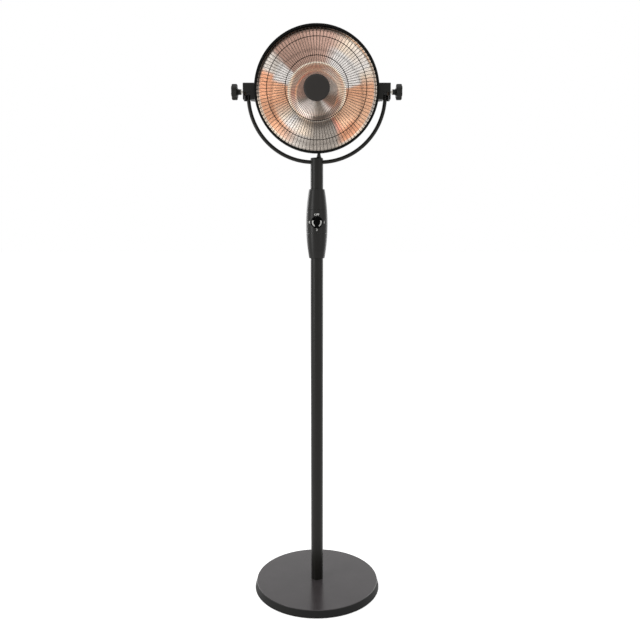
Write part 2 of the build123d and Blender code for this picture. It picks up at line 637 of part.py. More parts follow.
def shell_arc(inset):
    """The shell's curve from its wall to its flat back: start, middle and end as (radius, depth)."""
    start = (SHELL_WALL_RADIUS - inset, SHELL_TURN_DEPTH - inset / 2)
    end = (SHELL_BACK_RADIUS - inset / 2, SHELL_BACK_DEPTH - inset)
    across = (end[0] - start[0], end[1] - start[1])
    length = math.hypot(*across)
    out = (across[1] / length, -across[0] / length)
    middle = ((start[0] + end[0]) / 2 + out[0] * SHELL_BULGE,
              (start[1] + end[1]) / 2 + out[1] * SHELL_BULGE)
    return start, middle, end


def shell_solid(grow):
    """The space inside the shell's outer surface, grown by a gap, to cut what seats on it."""
    start, middle, end = shell_arc(-grow)
    return turned_edges(
        Line(at(0, 0), at(start[0], 0)),
        Line(at(start[0], 0), at(*start)),
        ThreePointArc(at(*start), at(*middle), at(*end)),
        Line(at(*end), at(0, end[1])),
        Line(at(0, end[1]), at(0, 0)),
    )


def rear_shell():
    """The painted cover behind the dish, with a flange in the rim, a ring of vents and a cable hole."""
    flange = HEAD_RADIUS - FLANGE_REACH
    hole = CABLE_HOLE
    flange_back = SHELL_FLANGE_DEPTH + SHEET
    outer, inner = shell_arc(0), shell_arc(SHEET)
    inner_wall = SHELL_WALL_RADIUS - SHEET
    shell = turned_edges(
        Line(at(inner_wall, SHELL_FLANGE_DEPTH), at(flange, SHELL_FLANGE_DEPTH)),
        Line(at(flange, SHELL_FLANGE_DEPTH), at(flange, flange_back)),
        Line(at(flange, flange_back), at(SHELL_WALL_RADIUS, flange_back)),
        Line(at(SHELL_WALL_RADIUS, flange_back), at(*outer[0])),
        ThreePointArc(*[at(*p) for p in outer]),
        Line(at(*outer[2]), at(hole, SHELL_BACK_DEPTH)),
        Line(at(hole, SHELL_BACK_DEPTH), at(hole, SHELL_BACK_DEPTH - SHEET)),
        Line(at(hole, SHELL_BACK_DEPTH - SHEET), at(*inner[2])),
        ThreePointArc(*[at(*p) for p in reversed(inner)]),
        Line(at(*inner[0]), at(inner_wall, SHELL_FLANGE_DEPTH)),
    )
    vent_radius = SHELL_BACK_RADIUS + 38.0
    vent = Pos(vent_radius, 0, RIM_FORWARD - SHELL_BACK_DEPTH) * extrude(SlotOverall(30, 5), 60)
    shell -= [turn * vent for turn in around(VENT_COUNT, 180.0 / VENT_COUNT)]
    return shell - rim_screw_holes()


def rim_pieces():
    """The rolled rim band, the seal behind the flanges and the screws through its rear lip."""
    inside = HEAD_RADIUS - LIP_WIDTH
    wall = HEAD_RADIUS - RIM_SHEET
    band = turned_edges(
        Line(at(inside, 0.6), at(inside, RIM_SHEET)),
        Line(at(inside, RIM_SHEET), at(wall, RIM_SHEET)),
        Line(at(wall, RIM_SHEET), at(wall, RIM_DEPTH - RIM_SHEET)),
        Line(at(wall, RIM_DEPTH - RIM_SHEET), at(inside + 0.4, RIM_DEPTH - RIM_SHEET)),
        Line(at(inside + 0.4, RIM_DEPTH - RIM_SHEET), at(inside + 0.4, RIM_DEPTH)),
        Line(at(inside + 0.4, RIM_DEPTH), at(HEAD_RADIUS - 1.5, RIM_DEPTH)),
        ThreePointArc(at(HEAD_RADIUS - 1.5, RIM_DEPTH), at(HEAD_RADIUS - 0.44, RIM_DEPTH - 0.44),
                      at(HEAD_RADIUS, RIM_DEPTH - 1.5)),
        Line(at(HEAD_RADIUS, RIM_DEPTH - 1.5), at(HEAD_RADIUS, 2.5)),
        ThreePointArc(at(HEAD_RADIUS, 2.5), at(HEAD_RADIUS - 0.73, 0.73), at(HEAD_RADIUS - 2.5, 0)),
        Line(at(HEAD_RADIUS - 2.5, 0), at(inside + 0.6, 0)),
        ThreePointArc(at(inside + 0.6, 0), at(inside + 0.18, 0.18), at(inside, 0.6)),
    )
    seal_front = SHELL_FLANGE_DEPTH + SHEET + FIT
    seal_back = RIM_DEPTH - RIM_SHEET - FIT
    seal = turned_edges(*path_of(
        (SHELL_WALL_RADIUS + SEAT, seal_front), (wall - SEAT, seal_front), (wall - SEAT, seal_back),
        (SHELL_WALL_RADIUS + SEAT, seal_back), (SHELL_WALL_RADIUS + SEAT, seal_front),
    ))
    start = at(rim_screw_circle(), RIM_DEPTH)
    end = at(rim_screw_circle(), REFLECTOR_FLANGE_DEPTH)
    screw = pan_screw(start, end, 1.5, 2.8, 1.8)
    holes = rim_screw_holes()
    return {
        "rim_band": HEAD * (band - holes),
        "rim_seal": HEAD * (seal - holes),
        "rim_screws": group([HEAD * turn * screw for turn in around(RIM_SCREW_COUNT)]),
    }


def rim_screw_circle():
    return HEAD_RADIUS - LIP_WIDTH / 2 - 0.9


def rim_screw_holes():
    """Holes for the rim's screws through every flange in the rim's channel."""
    circle = rim_screw_circle()
    hole = rod(at(circle, REFLECTOR_FLANGE_DEPTH - 0.5), at(circle, RIM_DEPTH + 0.5), 1.5 + FIT)
    return [turn * hole for turn in around(RIM_SCREW_COUNT)]


# ---- head: grille and hub ----------------------------------------------------------------------------


def grille():
    """The wire grille: radial wires with a dome and a shoulder, and ring wires welded behind them."""
    hub_end = (HUB_RING_RADIUS + HUB_WIRE_RADIUS + FIT, 0, RIM_FORWARD + HUB_FORWARD)
    shoulder_radius = HEAD_RADIUS - SHOULDER_INSET
    reach = shoulder_radius - hub_end[0]
    dome_radius = (reach ** 2 + SHOULDER_DROP ** 2) / (2 * SHOULDER_DROP)
    slope = math.asin(reach / dome_radius)
    shoulder = (shoulder_radius, 0, hub_end[2] - SHOULDER_DROP)

    def dome_height(radius):
        return hub_end[2] - dome_radius + math.sqrt(dome_radius ** 2 - (radius - hub_end[0]) ** 2)

    middle = hub_end[0] + reach / 2
    frame_circle = HEAD_RADIUS - RIM_SHEET - FRAME_WIRE_RADIUS - 0.5
    wire_end = (frame_circle - FRAME_WIRE_RADIUS - WIRE_RADIUS, 0, RIM_FORWARD - WIRE_END_DEPTH)
    dome = ThreePointArc(hub_end, (middle, 0, dome_height(middle)), shoulder)
    edge = TangentArc(shoulder, wire_end, tangent=(math.cos(slope), 0, -math.sin(slope)))
    path = Wire([dome, edge])
    wire = sweep(Plane(origin=hub_end, z_dir=path % 0) * Circle(WIRE_RADIUS), path=path)

    def ring(radius, height, section):
        return Pos(0, 0, height) * Torus(radius, section)

    rings = [ring(r, dome_height(r) - WIRE_RADIUS - RING_WIRE_RADIUS - FIT, RING_WIRE_RADIUS)
             for r in RING_RADII]
    rings.append(ring(HUB_RING_RADIUS, hub_end[2], HUB_WIRE_RADIUS))
    rings.append(ring(frame_circle, RIM_FORWARD - FRAME_WIRE_RADIUS - RIM_SHEET - 0.6, FRAME_WIRE_RADIUS))
    return group([turn * wire for turn in around(WIRE_COUNT)] + rings)


def hub_pieces():
    """The hub cap in front of the wires' ends, the plate behind them and the screw that joins them."""
    wires = RIM_FORWARD + HUB_FORWARD
    half = HUB_WIRE_RADIUS + SEAT
    cap_back, plate_front = wires + half, wires - half
    plate_thickness = 1.5
    cap_front = cap_back + HUB_CAP_THICKNESS
    boss = 7.0
    cap = turned(
        (0, plate_front), (boss, plate_front), (boss, cap_back), (HUB_CAP_RADIUS, cap_back),
        (HUB_CAP_RADIUS, cap_back + HUB_CAP_THICKNESS * 0.45), (HUB_CAP_RADIUS - 4.5, cap_front),
        (0, cap_front),
    )
    plate_back = plate_front - plate_thickness
    plate = turned((2.5 + FIT, plate_back), (HUB_CAP_RADIUS - 4, plate_back),
                   (HUB_CAP_RADIUS - 4, plate_front),
                   (2.5 + FIT, plate_front))
    tip = cap_front - 1.5
    screw = pan_screw((0, 0, plate_back), (0, 0, tip), 2.5, 4.5, 2.6)
    cap -= rod((0, 0, plate_back), (0, 0, tip + 0.2), 2.5 + FIT)
    return {"hub_cap": HEAD * cap, "hub_plate": HEAD * plate, "hub_screw": HEAD * screw}


# ---- head: element -----------------------------------------------------------------------------------


def biarc(start, start_way, end, end_way):
    """Two tangent arcs that join two points of a helix with its directions there."""
    chord = end - start
    ways = start_way + end_way
    a = 2 * (1 - start_way.dot(end_way))
    b = 2 * chord.dot(ways)
    c = -chord.dot(chord)
    reach = (-b + math.sqrt(b * b - 4 * a * c)) / (2 * a)
    joint = (start + start_way * reach + end - end_way * reach) * 0.5
    first = TangentArc(start, joint, tangent=start_way)
    second = TangentArc(joint, end, tangent=first % 1)
    return [first, second]


def least_gap(path, wire, steps):
    """Least gap between stretches of a wound wire that lie more than a quarter turn apart, on points."""
    points = path.positions([i / steps for i in range(steps + 1)])
    near = math.pi * (CORE_RADIUS + wire) / 2
    apart = int(near / path.length * steps) + 1
    gaps = [(a - b).length for i, a in enumerate(points) for b in points[i + apart:]]
    return min(gaps) - wire


def coil(foot, head):
    """The heating wire: one unbroken tube wound round the ceramic core, each half turn two tangent arcs.

    Both ends turn to run along the core: one into the base at foot, the other into the collar at head.
    """
    radius = CORE_RADIUS + COIL_WIRE / 2 + 0.5
    bend = 1.6 * COIL_WIRE
    low = (foot + head - COIL_PITCH * COIL_TURNS) / 2

    def point(turns):
        angle = 2 * math.pi * turns
        return Vector(radius * math.cos(angle), radius * math.sin(angle), low + COIL_PITCH * turns)

    def way(turns):
        angle = 2 * math.pi * turns
        return Vector(-radius * math.sin(angle), radius * math.cos(angle),
                      COIL_PITCH / (2 * math.pi)).normalized()

    halves = [i / 2 for i in range(2 * COIL_TURNS + 1)]
    arcs = [arc for a, b in zip(halves, halves[1:]) for arc in biarc(point(a), way(a), point(b), way(b))]
    along = Vector(0, 0, 1)
    start, end = point(0), point(COIL_TURNS)
    tail_in = start - way(0) * bend - along * bend
    tail_out = end + way(COIL_TURNS) * bend + along * bend
    path = Wire([
        Line((tail_in.X, tail_in.Y, foot), tail_in), *biarc(tail_in, along, start, way(0)), *arcs,
        *biarc(end, way(COIL_TURNS), tail_out, along), Line(tail_out, (tail_out.X, tail_out.Y, head)),
    ])
    print("coil: least gap to itself", round(least_gap(path, COIL_WIRE, 700), 2), "mm")
    return sweep(Plane(origin=path @ 0, z_dir=path % 0) * Circle(COIL_WIRE / 2), path=path)


def element_pieces():
    """The ceramic core with its coil, its base with two terminals, and the heat shield."""
    floor_back = RIM_FORWARD - FLOOR_DEPTH - 1.15 * REFLECTOR_SHEET
    floor_front = RIM_FORWARD - FLOOR_DEPTH
    core_front = RIM_FORWARD - CORE_FRONT_DEPTH
    collar = CORE_RADIUS + 2.5
    core = turned(
        (0, floor_front + 3), (CORE_RADIUS, floor_front + 3), (CORE_RADIUS, core_front - 4),
        (collar, core_front - 4),
        (collar, core_front - 1), (collar - 2, core_front), (0, core_front),
    )
    base_radius = 17.8
    base_back = floor_back - 8.0
    base = turned(
        (0, floor_front + 3), (base_radius - 2, floor_front + 3), (base_radius, floor_front + 1),
        (base_radius, floor_back), (base_radius + 5, floor_back), (base_radius + 5, floor_back - 3),
        (base_radius - 2, floor_back - 3), (base_radius - 2, base_back), (0, base_back),
    )
    base += [rod((x, 0, base_back + 1), (x, 0, base_back - 4), 2.0)
             for x in (-ELEMENT_LEAD_X, ELEMENT_LEAD_X)]
    lead_end = RIM_FORWARD - SHELL_BACK_DEPTH - STRIP_GAP
    leads = [rod((x, 0, base_back - 4), (x, 0, lead_end), ELEMENT_LEAD_RADIUS)
             for x in (-ELEMENT_LEAD_X, ELEMENT_LEAD_X)]
    shield_front = floor_back - 3.0 - SEAT
    shell_inside = RIM_FORWARD - SHELL_BACK_DEPTH + SHEET
    shield = turned((base_radius - 1.5, shield_front), (55, shield_front), (55, shield_front - 1),
                    (base_radius - 1.5, shield_front - 1))
    shield += [turn * rod((46, 0, shield_front - 0.5), (46, 0, shell_inside + FIT), 3.0)
               for turn in around(3, 90)]
    return {
        "element_core": HEAD * core, "element_coil": HEAD * coil(floor_front + 3, core_front - 4),
        "element_base": HEAD * base, "element_leads": group([HEAD * lead for lead in leads]),
        "heat_shield": HEAD * shield,
    }


# ---- head: junction box and lead ---------------------------------------------------------------------


def box_block(inset, front, back, corner):
    """A block with rounded corners on the shell's flat back, between two distances from it."""
    block = extrude(RectangleRounded(BOX_WIDTH - 2 * inset, BOX_HEIGHT - 2 * inset, corner), back - front)
    return Pos(0, SHELL_BACK_Y + front, PIVOT_HEIGHT) * Rot(-90, 0, 0) * block


def box_screw_line(x, z, back, front):
    """The line of a lid screw in one corner of the junction box, from back to front."""
    px, pz = x * (BOX_WIDTH / 2 - 7.5), PIVOT_HEIGHT + z * (BOX_HEIGHT / 2 - 7.5)
    return (px, SHELL_BACK_Y + back, pz), (px, SHELL_BACK_Y + front, pz)


def box_screw_holes():
    corners = [(x, z) for x in (-1, 1) for z in (-1, 1)]
    return [rod(*box_screw_line(x, z, BOX_DEPTH + 1, -SHEET - 3), 2.0 + FIT) for x, z in corners]


def junction_pieces():
    """The cover on the shell's back, its screws, the terminal strip inside it and the lead's gland."""
    outer = box_block(0, 0, BOX_DEPTH, BOX_CORNER)
    outer = fillet(outer.faces().sort_by(Axis.Y)[-1].edges(), 4.0)
    cover = outer - box_block(BOX_WALL, -1, BOX_DEPTH - BOX_WALL, BOX_CORNER - BOX_WALL)
    screws = []
    for x in (-1, 1):
        for z in (-1, 1):
            cover += outer & rod(*box_screw_line(x, z, BOX_DEPTH, 0), 5.5)
            screws.append(pan_screw(*box_screw_line(x, z, BOX_DEPTH, -SHEET - 2), 2.0, 3.8, 2.2))
    cover -= box_screw_holes()

    strip_front = SHELL_BACK_Y + STRIP_GAP
    strip = Pos(0, strip_front, PIVOT_HEIGHT) * Box(44, 13, 14,
                                                    align=(Align.CENTER, Align.MIN, Align.CENTER))
    foot = Box(6, STRIP_GAP, 14, align=(Align.CENTER, Align.MIN, Align.CENTER))
    strip += [Pos(x, SHELL_BACK_Y, PIVOT_HEIGHT) * foot for x in (-19, 19)]
    strip -= [Pos(x, strip_front + 13, PIVOT_HEIGHT) * Cylinder(2.2, 12, rotation=(90, 0, 0))
              for x in (-14, 0, 14)]

    gland_y = SHELL_BACK_Y + HEAD_GLAND_BACK
    gland = turned((0, -BOX_WALL - 4), (6, -BOX_WALL - 4), (6, 0), (9, 0), (9, 6), (7.5, 8),
                   (LEAD_RADIUS + 1.3, HEAD_GLAND_LENGTH), (0, HEAD_GLAND_LENGTH))
    gland = Pos(BOOT_X, gland_y, BOX_LOW) * Rot(180, 0, 0) * gland
    cover -= rod((BOOT_X, gland_y, BOX_LOW - 1), (BOOT_X, gland_y, BOX_LOW + BOX_WALL + 1), 6 + FIT)
    return {
        "junction_cover": cover, "junction_screws": group(screws), "junction_gland": gland,
        "terminal_strip": strip,
    }


def head_lead():
    """The short lead from the boot's tip to the junction box's gland, bowed out behind the head."""
    lean = math.radians(BOOT_LEAN)
    out = Vector(0, math.sin(lean), math.cos(lean))
    tip = Vector(BOOT_X, BOOT_Y, CAP_TOP) + out * BOOT_LENGTH
    nose = Vector(BOOT_X, SHELL_BACK_Y + HEAD_GLAND_BACK, BOX_LOW - HEAD_GLAND_LENGTH)
    points = [
        tip,
        tip + out * 25,
        Vector(BOOT_X + 14, tip.Y + 27, tip.Z + 38),
        Vector(BOOT_X + 22, tip.Y + 59, tip.Z + 48),
        Vector(BOOT_X + 15, tip.Y + 69, tip.Z + 76),
        nose - Vector(0, 0, 26),
        nose,
    ]
    radii = []
    for a, b, c in zip(points, points[1:], points[2:]):
        turn = (b - a).get_angle(c - b)
        shorter = min((b - a).length, (c - b).length)
        radii.append(0.45 * shorter / math.tan(math.radians(turn) / 2))
    print("head lead: runs", [round((b - a).length, 1) for a, b in zip(points, points[1:])], "mm")
    print("head lead: bend radii", [round(r, 1) for r in radii], "mm")
    path = FilletPolyline(*points, radius=radii)
    lead = sweep(Plane(origin=path @ 0, z_dir=path % 0) * Circle(LEAD_RADIUS), path=path)
    print("head lead: length", round(path.length, 1), "mm, volume over section times length",
          round(lead.volume / (math.pi * LEAD_RADIUS ** 2 * path.length), 4))
    return {"head_lead": lead}


# ---- pivots and clamp knobs --------------------------------------------------------------------------


def along_x(start, end, radius, y=0.0, z=0.0):
    """A round bar along X beside the pivot axis."""
    return rod((start, y, PIVOT_HEIGHT + z), (end, y, PIVOT_HEIGHT + z), radius)


def shell_point(depth):
    """Radius and outward normal (in radius and depth) of the shell's curve at a depth."""
    start, middle, end = shell_arc(0)
    half = math.dist(start, end) / 2
    curve = (half ** 2 + SHELL_BULGE ** 2) / (2 * SHELL_BULGE)
    chord_middle = ((start[0] + end[0]) / 2, (start[1] + end[1]) / 2)
    out = [(m - c) / SHELL_BULGE for m, c in zip(middle, chord_middle)]
    centre = [m - o * curve for m, o in zip(middle, out)]
    radius = centre[0] + math.sqrt(curve ** 2 - (depth - centre[1]) ** 2)
    return radius, ((radius - centre[0]) / curve, (depth - centre[1]) / curve)


def rivets():
    """The rivets of the right-hand bracket, square to the shell's curve, and their holes."""
    solids, holes = [], []
    for depth in RIVET_DEPTHS:
        radius, normal = shell_point(depth)

        def out(distance):
            return at(radius + normal[0] * distance, depth + normal[1] * distance)

        for turn in (-RIVET_TURN, RIVET_TURN):
            place = HEAD * Rot(0, 0, turn)
            rivet = rod(out(-SHEET - 1.6), out(-SHEET - 0.1), 4.0) + rod(out(-SHEET - 0.5), out(7), 2.0)
            solids.append(place * rivet)
            holes.append(place * rod(out(-SHEET - 2), out(7.5), 2.0 + FIT))
    return solids, holes


def pivot_pieces():
    """The pivots on both sides: bracket on the shell, slotted block, insert, friction disc and screws."""
    half_depth, half_height = BLOCK_DEPTH / 2, BLOCK_HEIGHT / 2
    reach = shell_point(RIM_FORWARD + half_depth * 0.6)[0] - 4
    outline = Polyline(
        (BLOCK_IN, -half_depth), (BLOCK_IN, half_depth), (BLOCK_IN - half_depth, half_depth),
        (reach, half_depth * 0.6), (reach, -half_depth), close=True,
    )
    bracket = Pos(0, 0, PIVOT_HEIGHT - half_height) * extrude(make_face(outline), BLOCK_HEIGHT)
    long_edges = bracket.edges().filter_by(Axis.X)
    bracket = fillet(long_edges.filter_by_position(Axis.Y, -half_depth - 1, -half_depth + 1), 4.0)
    bracket -= HEAD * shell_solid(SEAT)

    middle = (BLOCK_IN + BLOCK_OUT) / 2
    block = Pos(middle, 0, PIVOT_HEIGHT) * Box(BLOCK_OUT - BLOCK_IN, BLOCK_DEPTH, BLOCK_HEIGHT)
    block = fillet(block.edges().filter_by(Axis.X), 4.0)
    block = fillet(block.faces().sort_by(Axis.X)[-1].edges(), 1.5)
    slot_deep = SLOT_IN - BAR_DRIFT
    slot = Box(SLOT_OUT - slot_deep, BLOCK_DEPTH + 2, BLOCK_HEIGHT,
               align=(Align.MIN, Align.CENTER, Align.MAX))
    slot = Pos(slot_deep, 0, PIVOT_HEIGHT - SLOT_DROP) * slot
    pad = along_x(slot_deep - 1, SLOT_IN, EYE_RADIUS)
    web = Pos(WEB_IN, half_depth, PIVOT_HEIGHT) * Box(
        SLOT_OUT, 2 * WEB_DEPTH, 2 * BLOCK_HEIGHT, align=(Align.MIN, Align.CENTER, Align.CENTER))
    block = block - (slot - pad - web) - along_x(SLOT_IN, SLOT_OUT, EYE_RADIUS + 1.5)
    block -= along_x(SLOT_OUT - 1, BLOCK_OUT + 1, STUD_RADIUS + FIT)

    insert_in = SLOT_IN - INSERT_LENGTH
    insert = along_x(insert_in, SLOT_IN, INSERT_RADIUS) - along_x(insert_in - 1, SLOT_IN + 1,
                                                                  STUD_RADIUS + FIT)
    insert_hole = along_x(insert_in - SEAT, SLOT_IN + 1, INSERT_RADIUS + FIT)
    disc_out = SLOT_OUT - RUN
    disc = along_x(disc_out - DISC_THICKNESS, disc_out, EYE_RADIUS - 1)
    disc -= along_x(disc_out - DISC_THICKNESS - 1, disc_out + 1, STUD_RADIUS + FIT)

    seat_x = BLOCK_IN - BRACKET_SCREW_DEPTH
    screw_tip = slot_deep - 0.8
    screws = []
    for z in (-BRACKET_SCREW_HEIGHT, BRACKET_SCREW_HEIGHT):
        ends = [(x, 0, PIVOT_HEIGHT + z) for x in (seat_x, screw_tip)]
        screws.append(pan_screw(*ends, 2.5, 4.2, 3.0))
        hole = along_x(seat_x - 1, screw_tip + 0.2, 2.5 + FIT, z=z)
        bracket = bracket - along_x(reach - 5, seat_x, 4.8, z=z) - hole
        block -= hole
    rivet_solids, rivet_holes = rivets()
    bracket = bracket - insert_hole - rivet_holes
    block -= insert_hole
    return {
        "side_bracket_right": bracket, "side_bracket_left": mirror(bracket, about=Plane.YZ),
        "pivot_block_right": block, "pivot_block_left": mirror(block, about=Plane.YZ),
        "thread_inserts": group(both_sides(insert)), "friction_discs": group(both_sides(disc)),
        "bracket_screws": group([side for screw in screws for side in both_sides(screw)]),
        "bracket_rivets": group([side for rivet in rivet_solids for side in both_sides(rivet)]),
    }


def knob_pieces():
    """The clamp knobs: lobed grip with its neck, threaded stud, and the washer under the neck."""
    grip_start = NECK_FACE + NECK_LENGTH
    star = Circle(GRIP_RADIUS)
    star -= [turn * Pos(GRIP_RADIUS + 3.0, 0) * Circle(7.0)
             for turn in around(GRIP_LOBES, 180.0 / GRIP_LOBES)]
    star = fillet(star.vertices(), 2.5)
    grip = extrude(star, GRIP_THICKNESS)
    grip = fillet(grip.faces().filter_by(Axis.Z).edges(), 4.0)
    grip = Pos(0, 0, NECK_LENGTH) * grip
    grip += turned(
        (0, 0), (NECK_RADIUS - 0.5, 0), (NECK_RADIUS, 0.5), (NECK_RADIUS, NECK_LENGTH - 4),
        (NECK_RADIUS + 3, NECK_LENGTH), (NECK_RADIUS + 3, NECK_LENGTH + 1), (0, NECK_LENGTH + 1),
    )
    stud_end = NECK_LENGTH + 10
    grip -= Cylinder(STUD_RADIUS, 2 * stud_end)
    grip = Plane(origin=(NECK_FACE, 0, PIVOT_HEIGHT), z_dir=(1, 0, 0)) * grip

    stud = along_x(SLOT_IN - STUD_ENGAGED, NECK_FACE + stud_end, STUD_RADIUS)
    stud = chamfer(stud.edges().sort_by(Axis.X)[0], 0.8)
    washer_out = NECK_FACE - RUN
    washer = along_x(washer_out - WASHER_THICKNESS, washer_out, NECK_RADIUS + 0.2)
    washer -= along_x(washer_out - WASHER_THICKNESS - 1, washer_out + 1, STUD_RADIUS + FIT)
    pieces = {"knob_grip": grip, "knob_stud": stud, "knob_washer": washer}
    right = {f"{name}_right": piece for name, piece in pieces.items()}
    left = {f"{name}_left": mirror(piece, about=Plane.YZ) for name, piece in pieces.items()}
    return right | left


# ---- write out ---------------------------------------------------------------------------------------


def shell_pieces():
    """The dish and the shell, with the holes that the box and the brackets need in the shell."""
    _, holes = rivets()
    shell = HEAD * rear_shell() - box_screw_holes()
    shell -= [side for hole in holes for side in both_sides(hole)]
    return {"reflector": HEAD * reflector(), "rear_shell": shell}


def main():
    os.makedirs("parts", exist_ok=True)
    nodes = {"grille_wires": HEAD * grille()}
    for group_of_pieces in (
        base_pieces, pole_pieces, housing_pieces, shell_pieces, rim_pieces, hub_pieces, element_pieces,
        junction_pieces, head_lead, pivot_pieces, knob_pieces,
    ):
        nodes.update(group_of_pieces())
    for name, piece in nodes.items():
        export_step(piece, f"parts/{name}.step")


main()
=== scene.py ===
# %% [markdown]
# # Infrared patio heater
#
# This file dresses a finished CAD model of a patio heater for a product picture. The CAD holds every shape
# and size, so most of the work here is light and finish: black powder coat, moulded plastic, a polished dish
# behind a wire guard, and the small printed marks round the dial. The first cell loads the model. Each later
# step says what the real thing is made of before it builds it.

import math

import bmesh
import bpy
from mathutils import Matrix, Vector


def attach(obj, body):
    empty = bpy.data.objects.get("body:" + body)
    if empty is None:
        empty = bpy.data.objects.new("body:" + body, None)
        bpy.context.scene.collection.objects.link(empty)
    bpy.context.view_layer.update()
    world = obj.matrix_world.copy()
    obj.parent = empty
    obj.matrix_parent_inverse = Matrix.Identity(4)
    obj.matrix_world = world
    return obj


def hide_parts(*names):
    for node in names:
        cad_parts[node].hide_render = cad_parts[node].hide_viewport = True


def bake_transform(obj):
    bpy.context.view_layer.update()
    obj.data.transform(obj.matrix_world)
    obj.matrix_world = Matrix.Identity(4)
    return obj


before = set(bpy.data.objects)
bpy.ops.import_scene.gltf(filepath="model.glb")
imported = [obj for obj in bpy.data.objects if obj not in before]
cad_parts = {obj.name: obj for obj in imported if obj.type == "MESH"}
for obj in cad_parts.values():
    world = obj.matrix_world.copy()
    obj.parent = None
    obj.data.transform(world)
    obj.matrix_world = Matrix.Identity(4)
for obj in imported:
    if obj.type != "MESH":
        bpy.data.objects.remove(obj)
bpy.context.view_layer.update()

MM = 0.001

# %% [markdown]
# ## Camera
#
# The photograph looks at the heater from about two metres away and a little above the dial, tilted down by
# some eight degrees: the base shows as an ellipse and the dish as almost a true circle. The lens follows
# from how much smaller the base is drawn than the dish would be at one distance.

# %% Camera
CAMERA_PLACE = (0.010, -2.180, 1.210)
CAMERA_PITCH = math.radians(7.8)
LENS = 38.25
SENSOR_WIDTH = 36.0


def new_object(name, data):
    """An object that shows this data, linked to the scene."""
    thing = bpy.data.objects.new(name, data)
    bpy.context.scene.collection.objects.link(thing)
    return thing


camera_data = bpy.data.cameras.new("camera")
camera_data.lens = LENS
camera_data.sensor_width = SENSOR_WIDTH
camera = new_object("camera", camera_data)
camera.location = CAMERA_PLACE
camera.rotation_euler = (math.pi / 2 - CAMERA_PITCH, 0, 0)
bpy.context.scene.camera = camera
bpy.context.scene.view_settings.view_transform = "Standard"
print("camera at", CAMERA_PLACE, "with a", LENS, "mm lens")

# %% [markdown]
# ## The lead behind the head
#
# A short lead in silicone rubber runs from a cone on the pole's cap to a gland under the junction cover,
# with enough slack for the head to tilt. Its route leaves the CAD's by up to 12 mm. It is drawn as a NURBS
# line, which rounds its own corners.

# %% The lead's route
LEAD_DIAMETER = 7 * MM
LEAD_ROUTE = [
    (6.5, 17.6, 1440.0), (6.5, 25.5, 1456.9), (28.5, 46.5, 1471.5), (34.5, 72.5, 1497.0),
    (30.0, 83.0, 1523.5), (6.5, 76.0, 1543.0), (6.5, 76.0, 1562.0),
]


def mesh_of(curve):
    """The mesh that Blender makes of a curve or of letters, through an object that is removed again."""
    holder = new_object("holder", curve)
    mesh = bpy.data.meshes.new_from_object(holder)
    bpy.data.objects.remove(holder)
    return mesh


def route_points(route_mm):
    """Points of a smooth NURBS line with the route's points as its control points, in metres."""
    curve = bpy.data.curves.new("route", "CURVE")
    curve.dimensions = "3D"
    spline = curve.splines.new("NURBS")
    spline.points.add(len(route_mm) - 1)
    for point, place in zip(spline.points, route_mm):
        point.co = [c * MM for c in place] + [1]
    spline.order_u = 3
    spline.use_endpoint_u = True
    spline.resolution_u = 16
    return [v.co.copy() for v in mesh_of(curve).vertices]


lead_points = route_points(LEAD_ROUTE)
lead_length = sum((b - a).length for a, b in zip(lead_points, lead_points[1:]))
print("lead length", round(lead_length, 4), "m in", len(lead_points), "points")

# %% [markdown]
# The tube is a mesh with a ring of vertices round each point of that line.

# %% The lead's tube
LEAD_SIDES = 20


def tube(name, points, radius, sides):
    """A closed mesh tube along points, with its rings carried along without twist."""
    mesh = bmesh.new()
    turns = [2 * math.pi * k / sides for k in range(sides)]
    across = Vector((1, 0, 0))
    rings = []
    for i, point in enumerate(points):
        along = (points[min(i + 1, len(points) - 1)] - points[max(i - 1, 0)]).normalized()
        across = (across - along * across.dot(along)).normalized()
        other = along.cross(across)
        places = [point + (across * math.cos(t) + other * math.sin(t)) * radius for t in turns]
        rings.append([mesh.verts.new(place) for place in places])
    for low, high in zip(rings, rings[1:]):
        for k in range(sides):
            mesh.faces.new((low[k], low[(k + 1) % sides], high[(k + 1) % sides], high[k]))
    mesh.faces.new(list(reversed(rings[0])))
    mesh.faces.new(rings[-1])
    data = bpy.data.meshes.new(name)
    mesh.to_mesh(data)
    mesh.free()
    data.shade_smooth()
    return new_object(name, data)


lead = tube("silicone_lead", lead_points, LEAD_DIAMETER / 2, LEAD_SIDES)
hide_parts("head_lead")
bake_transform(lead)
print(lead.name, len(lead.data.polygons), "faces")

# %% [markdown]
# ## Colours and shader nodes
#
# Colours are written as the sRGB hex values that one would pick from a picture, but a renderer adds light in
# linear values, so one function turns them over. Another small function adds a shader node: its settings are
# keyword arguments, and its sockets are a dictionary in which a pair of node and output makes a link. The
# Mix node gives several of its sockets the same name, so its colour sockets go by their numbers.

# %% Colours and shader nodes
# The Mix node's two colour inputs and its colour output.
MIX_A, MIX_B, MIXED = 6, 7, 2


def linear(hex_colour):
    """An sRGB colour such as "#34332f" as linear RGBA."""
    channels = [int(hex_colour[i:i + 2], 16) / 255 for i in (1, 3, 5)]
    return [c / 12.92 if c <= 0.04045 else ((c + 0.055) / 1.055) ** 2.4 for c in channels] + [1.0]


def add(tree, kind, sockets=None, **settings):
    """Adds a node to a tree. A socket's value is a number, a colour, or a (node, output) pair to link."""
    node = tree.nodes.new("ShaderNode" + kind)
    for name, value in settings.items():
        setattr(node, name, value)
    for name, value in (sockets or {}).items():
        if isinstance(value, tuple) and isinstance(value[0], bpy.types.Node):
            tree.links.new(value[0].outputs[value[1]], node.inputs[name])
        else:
            node.inputs[name].default_value = value
    return node


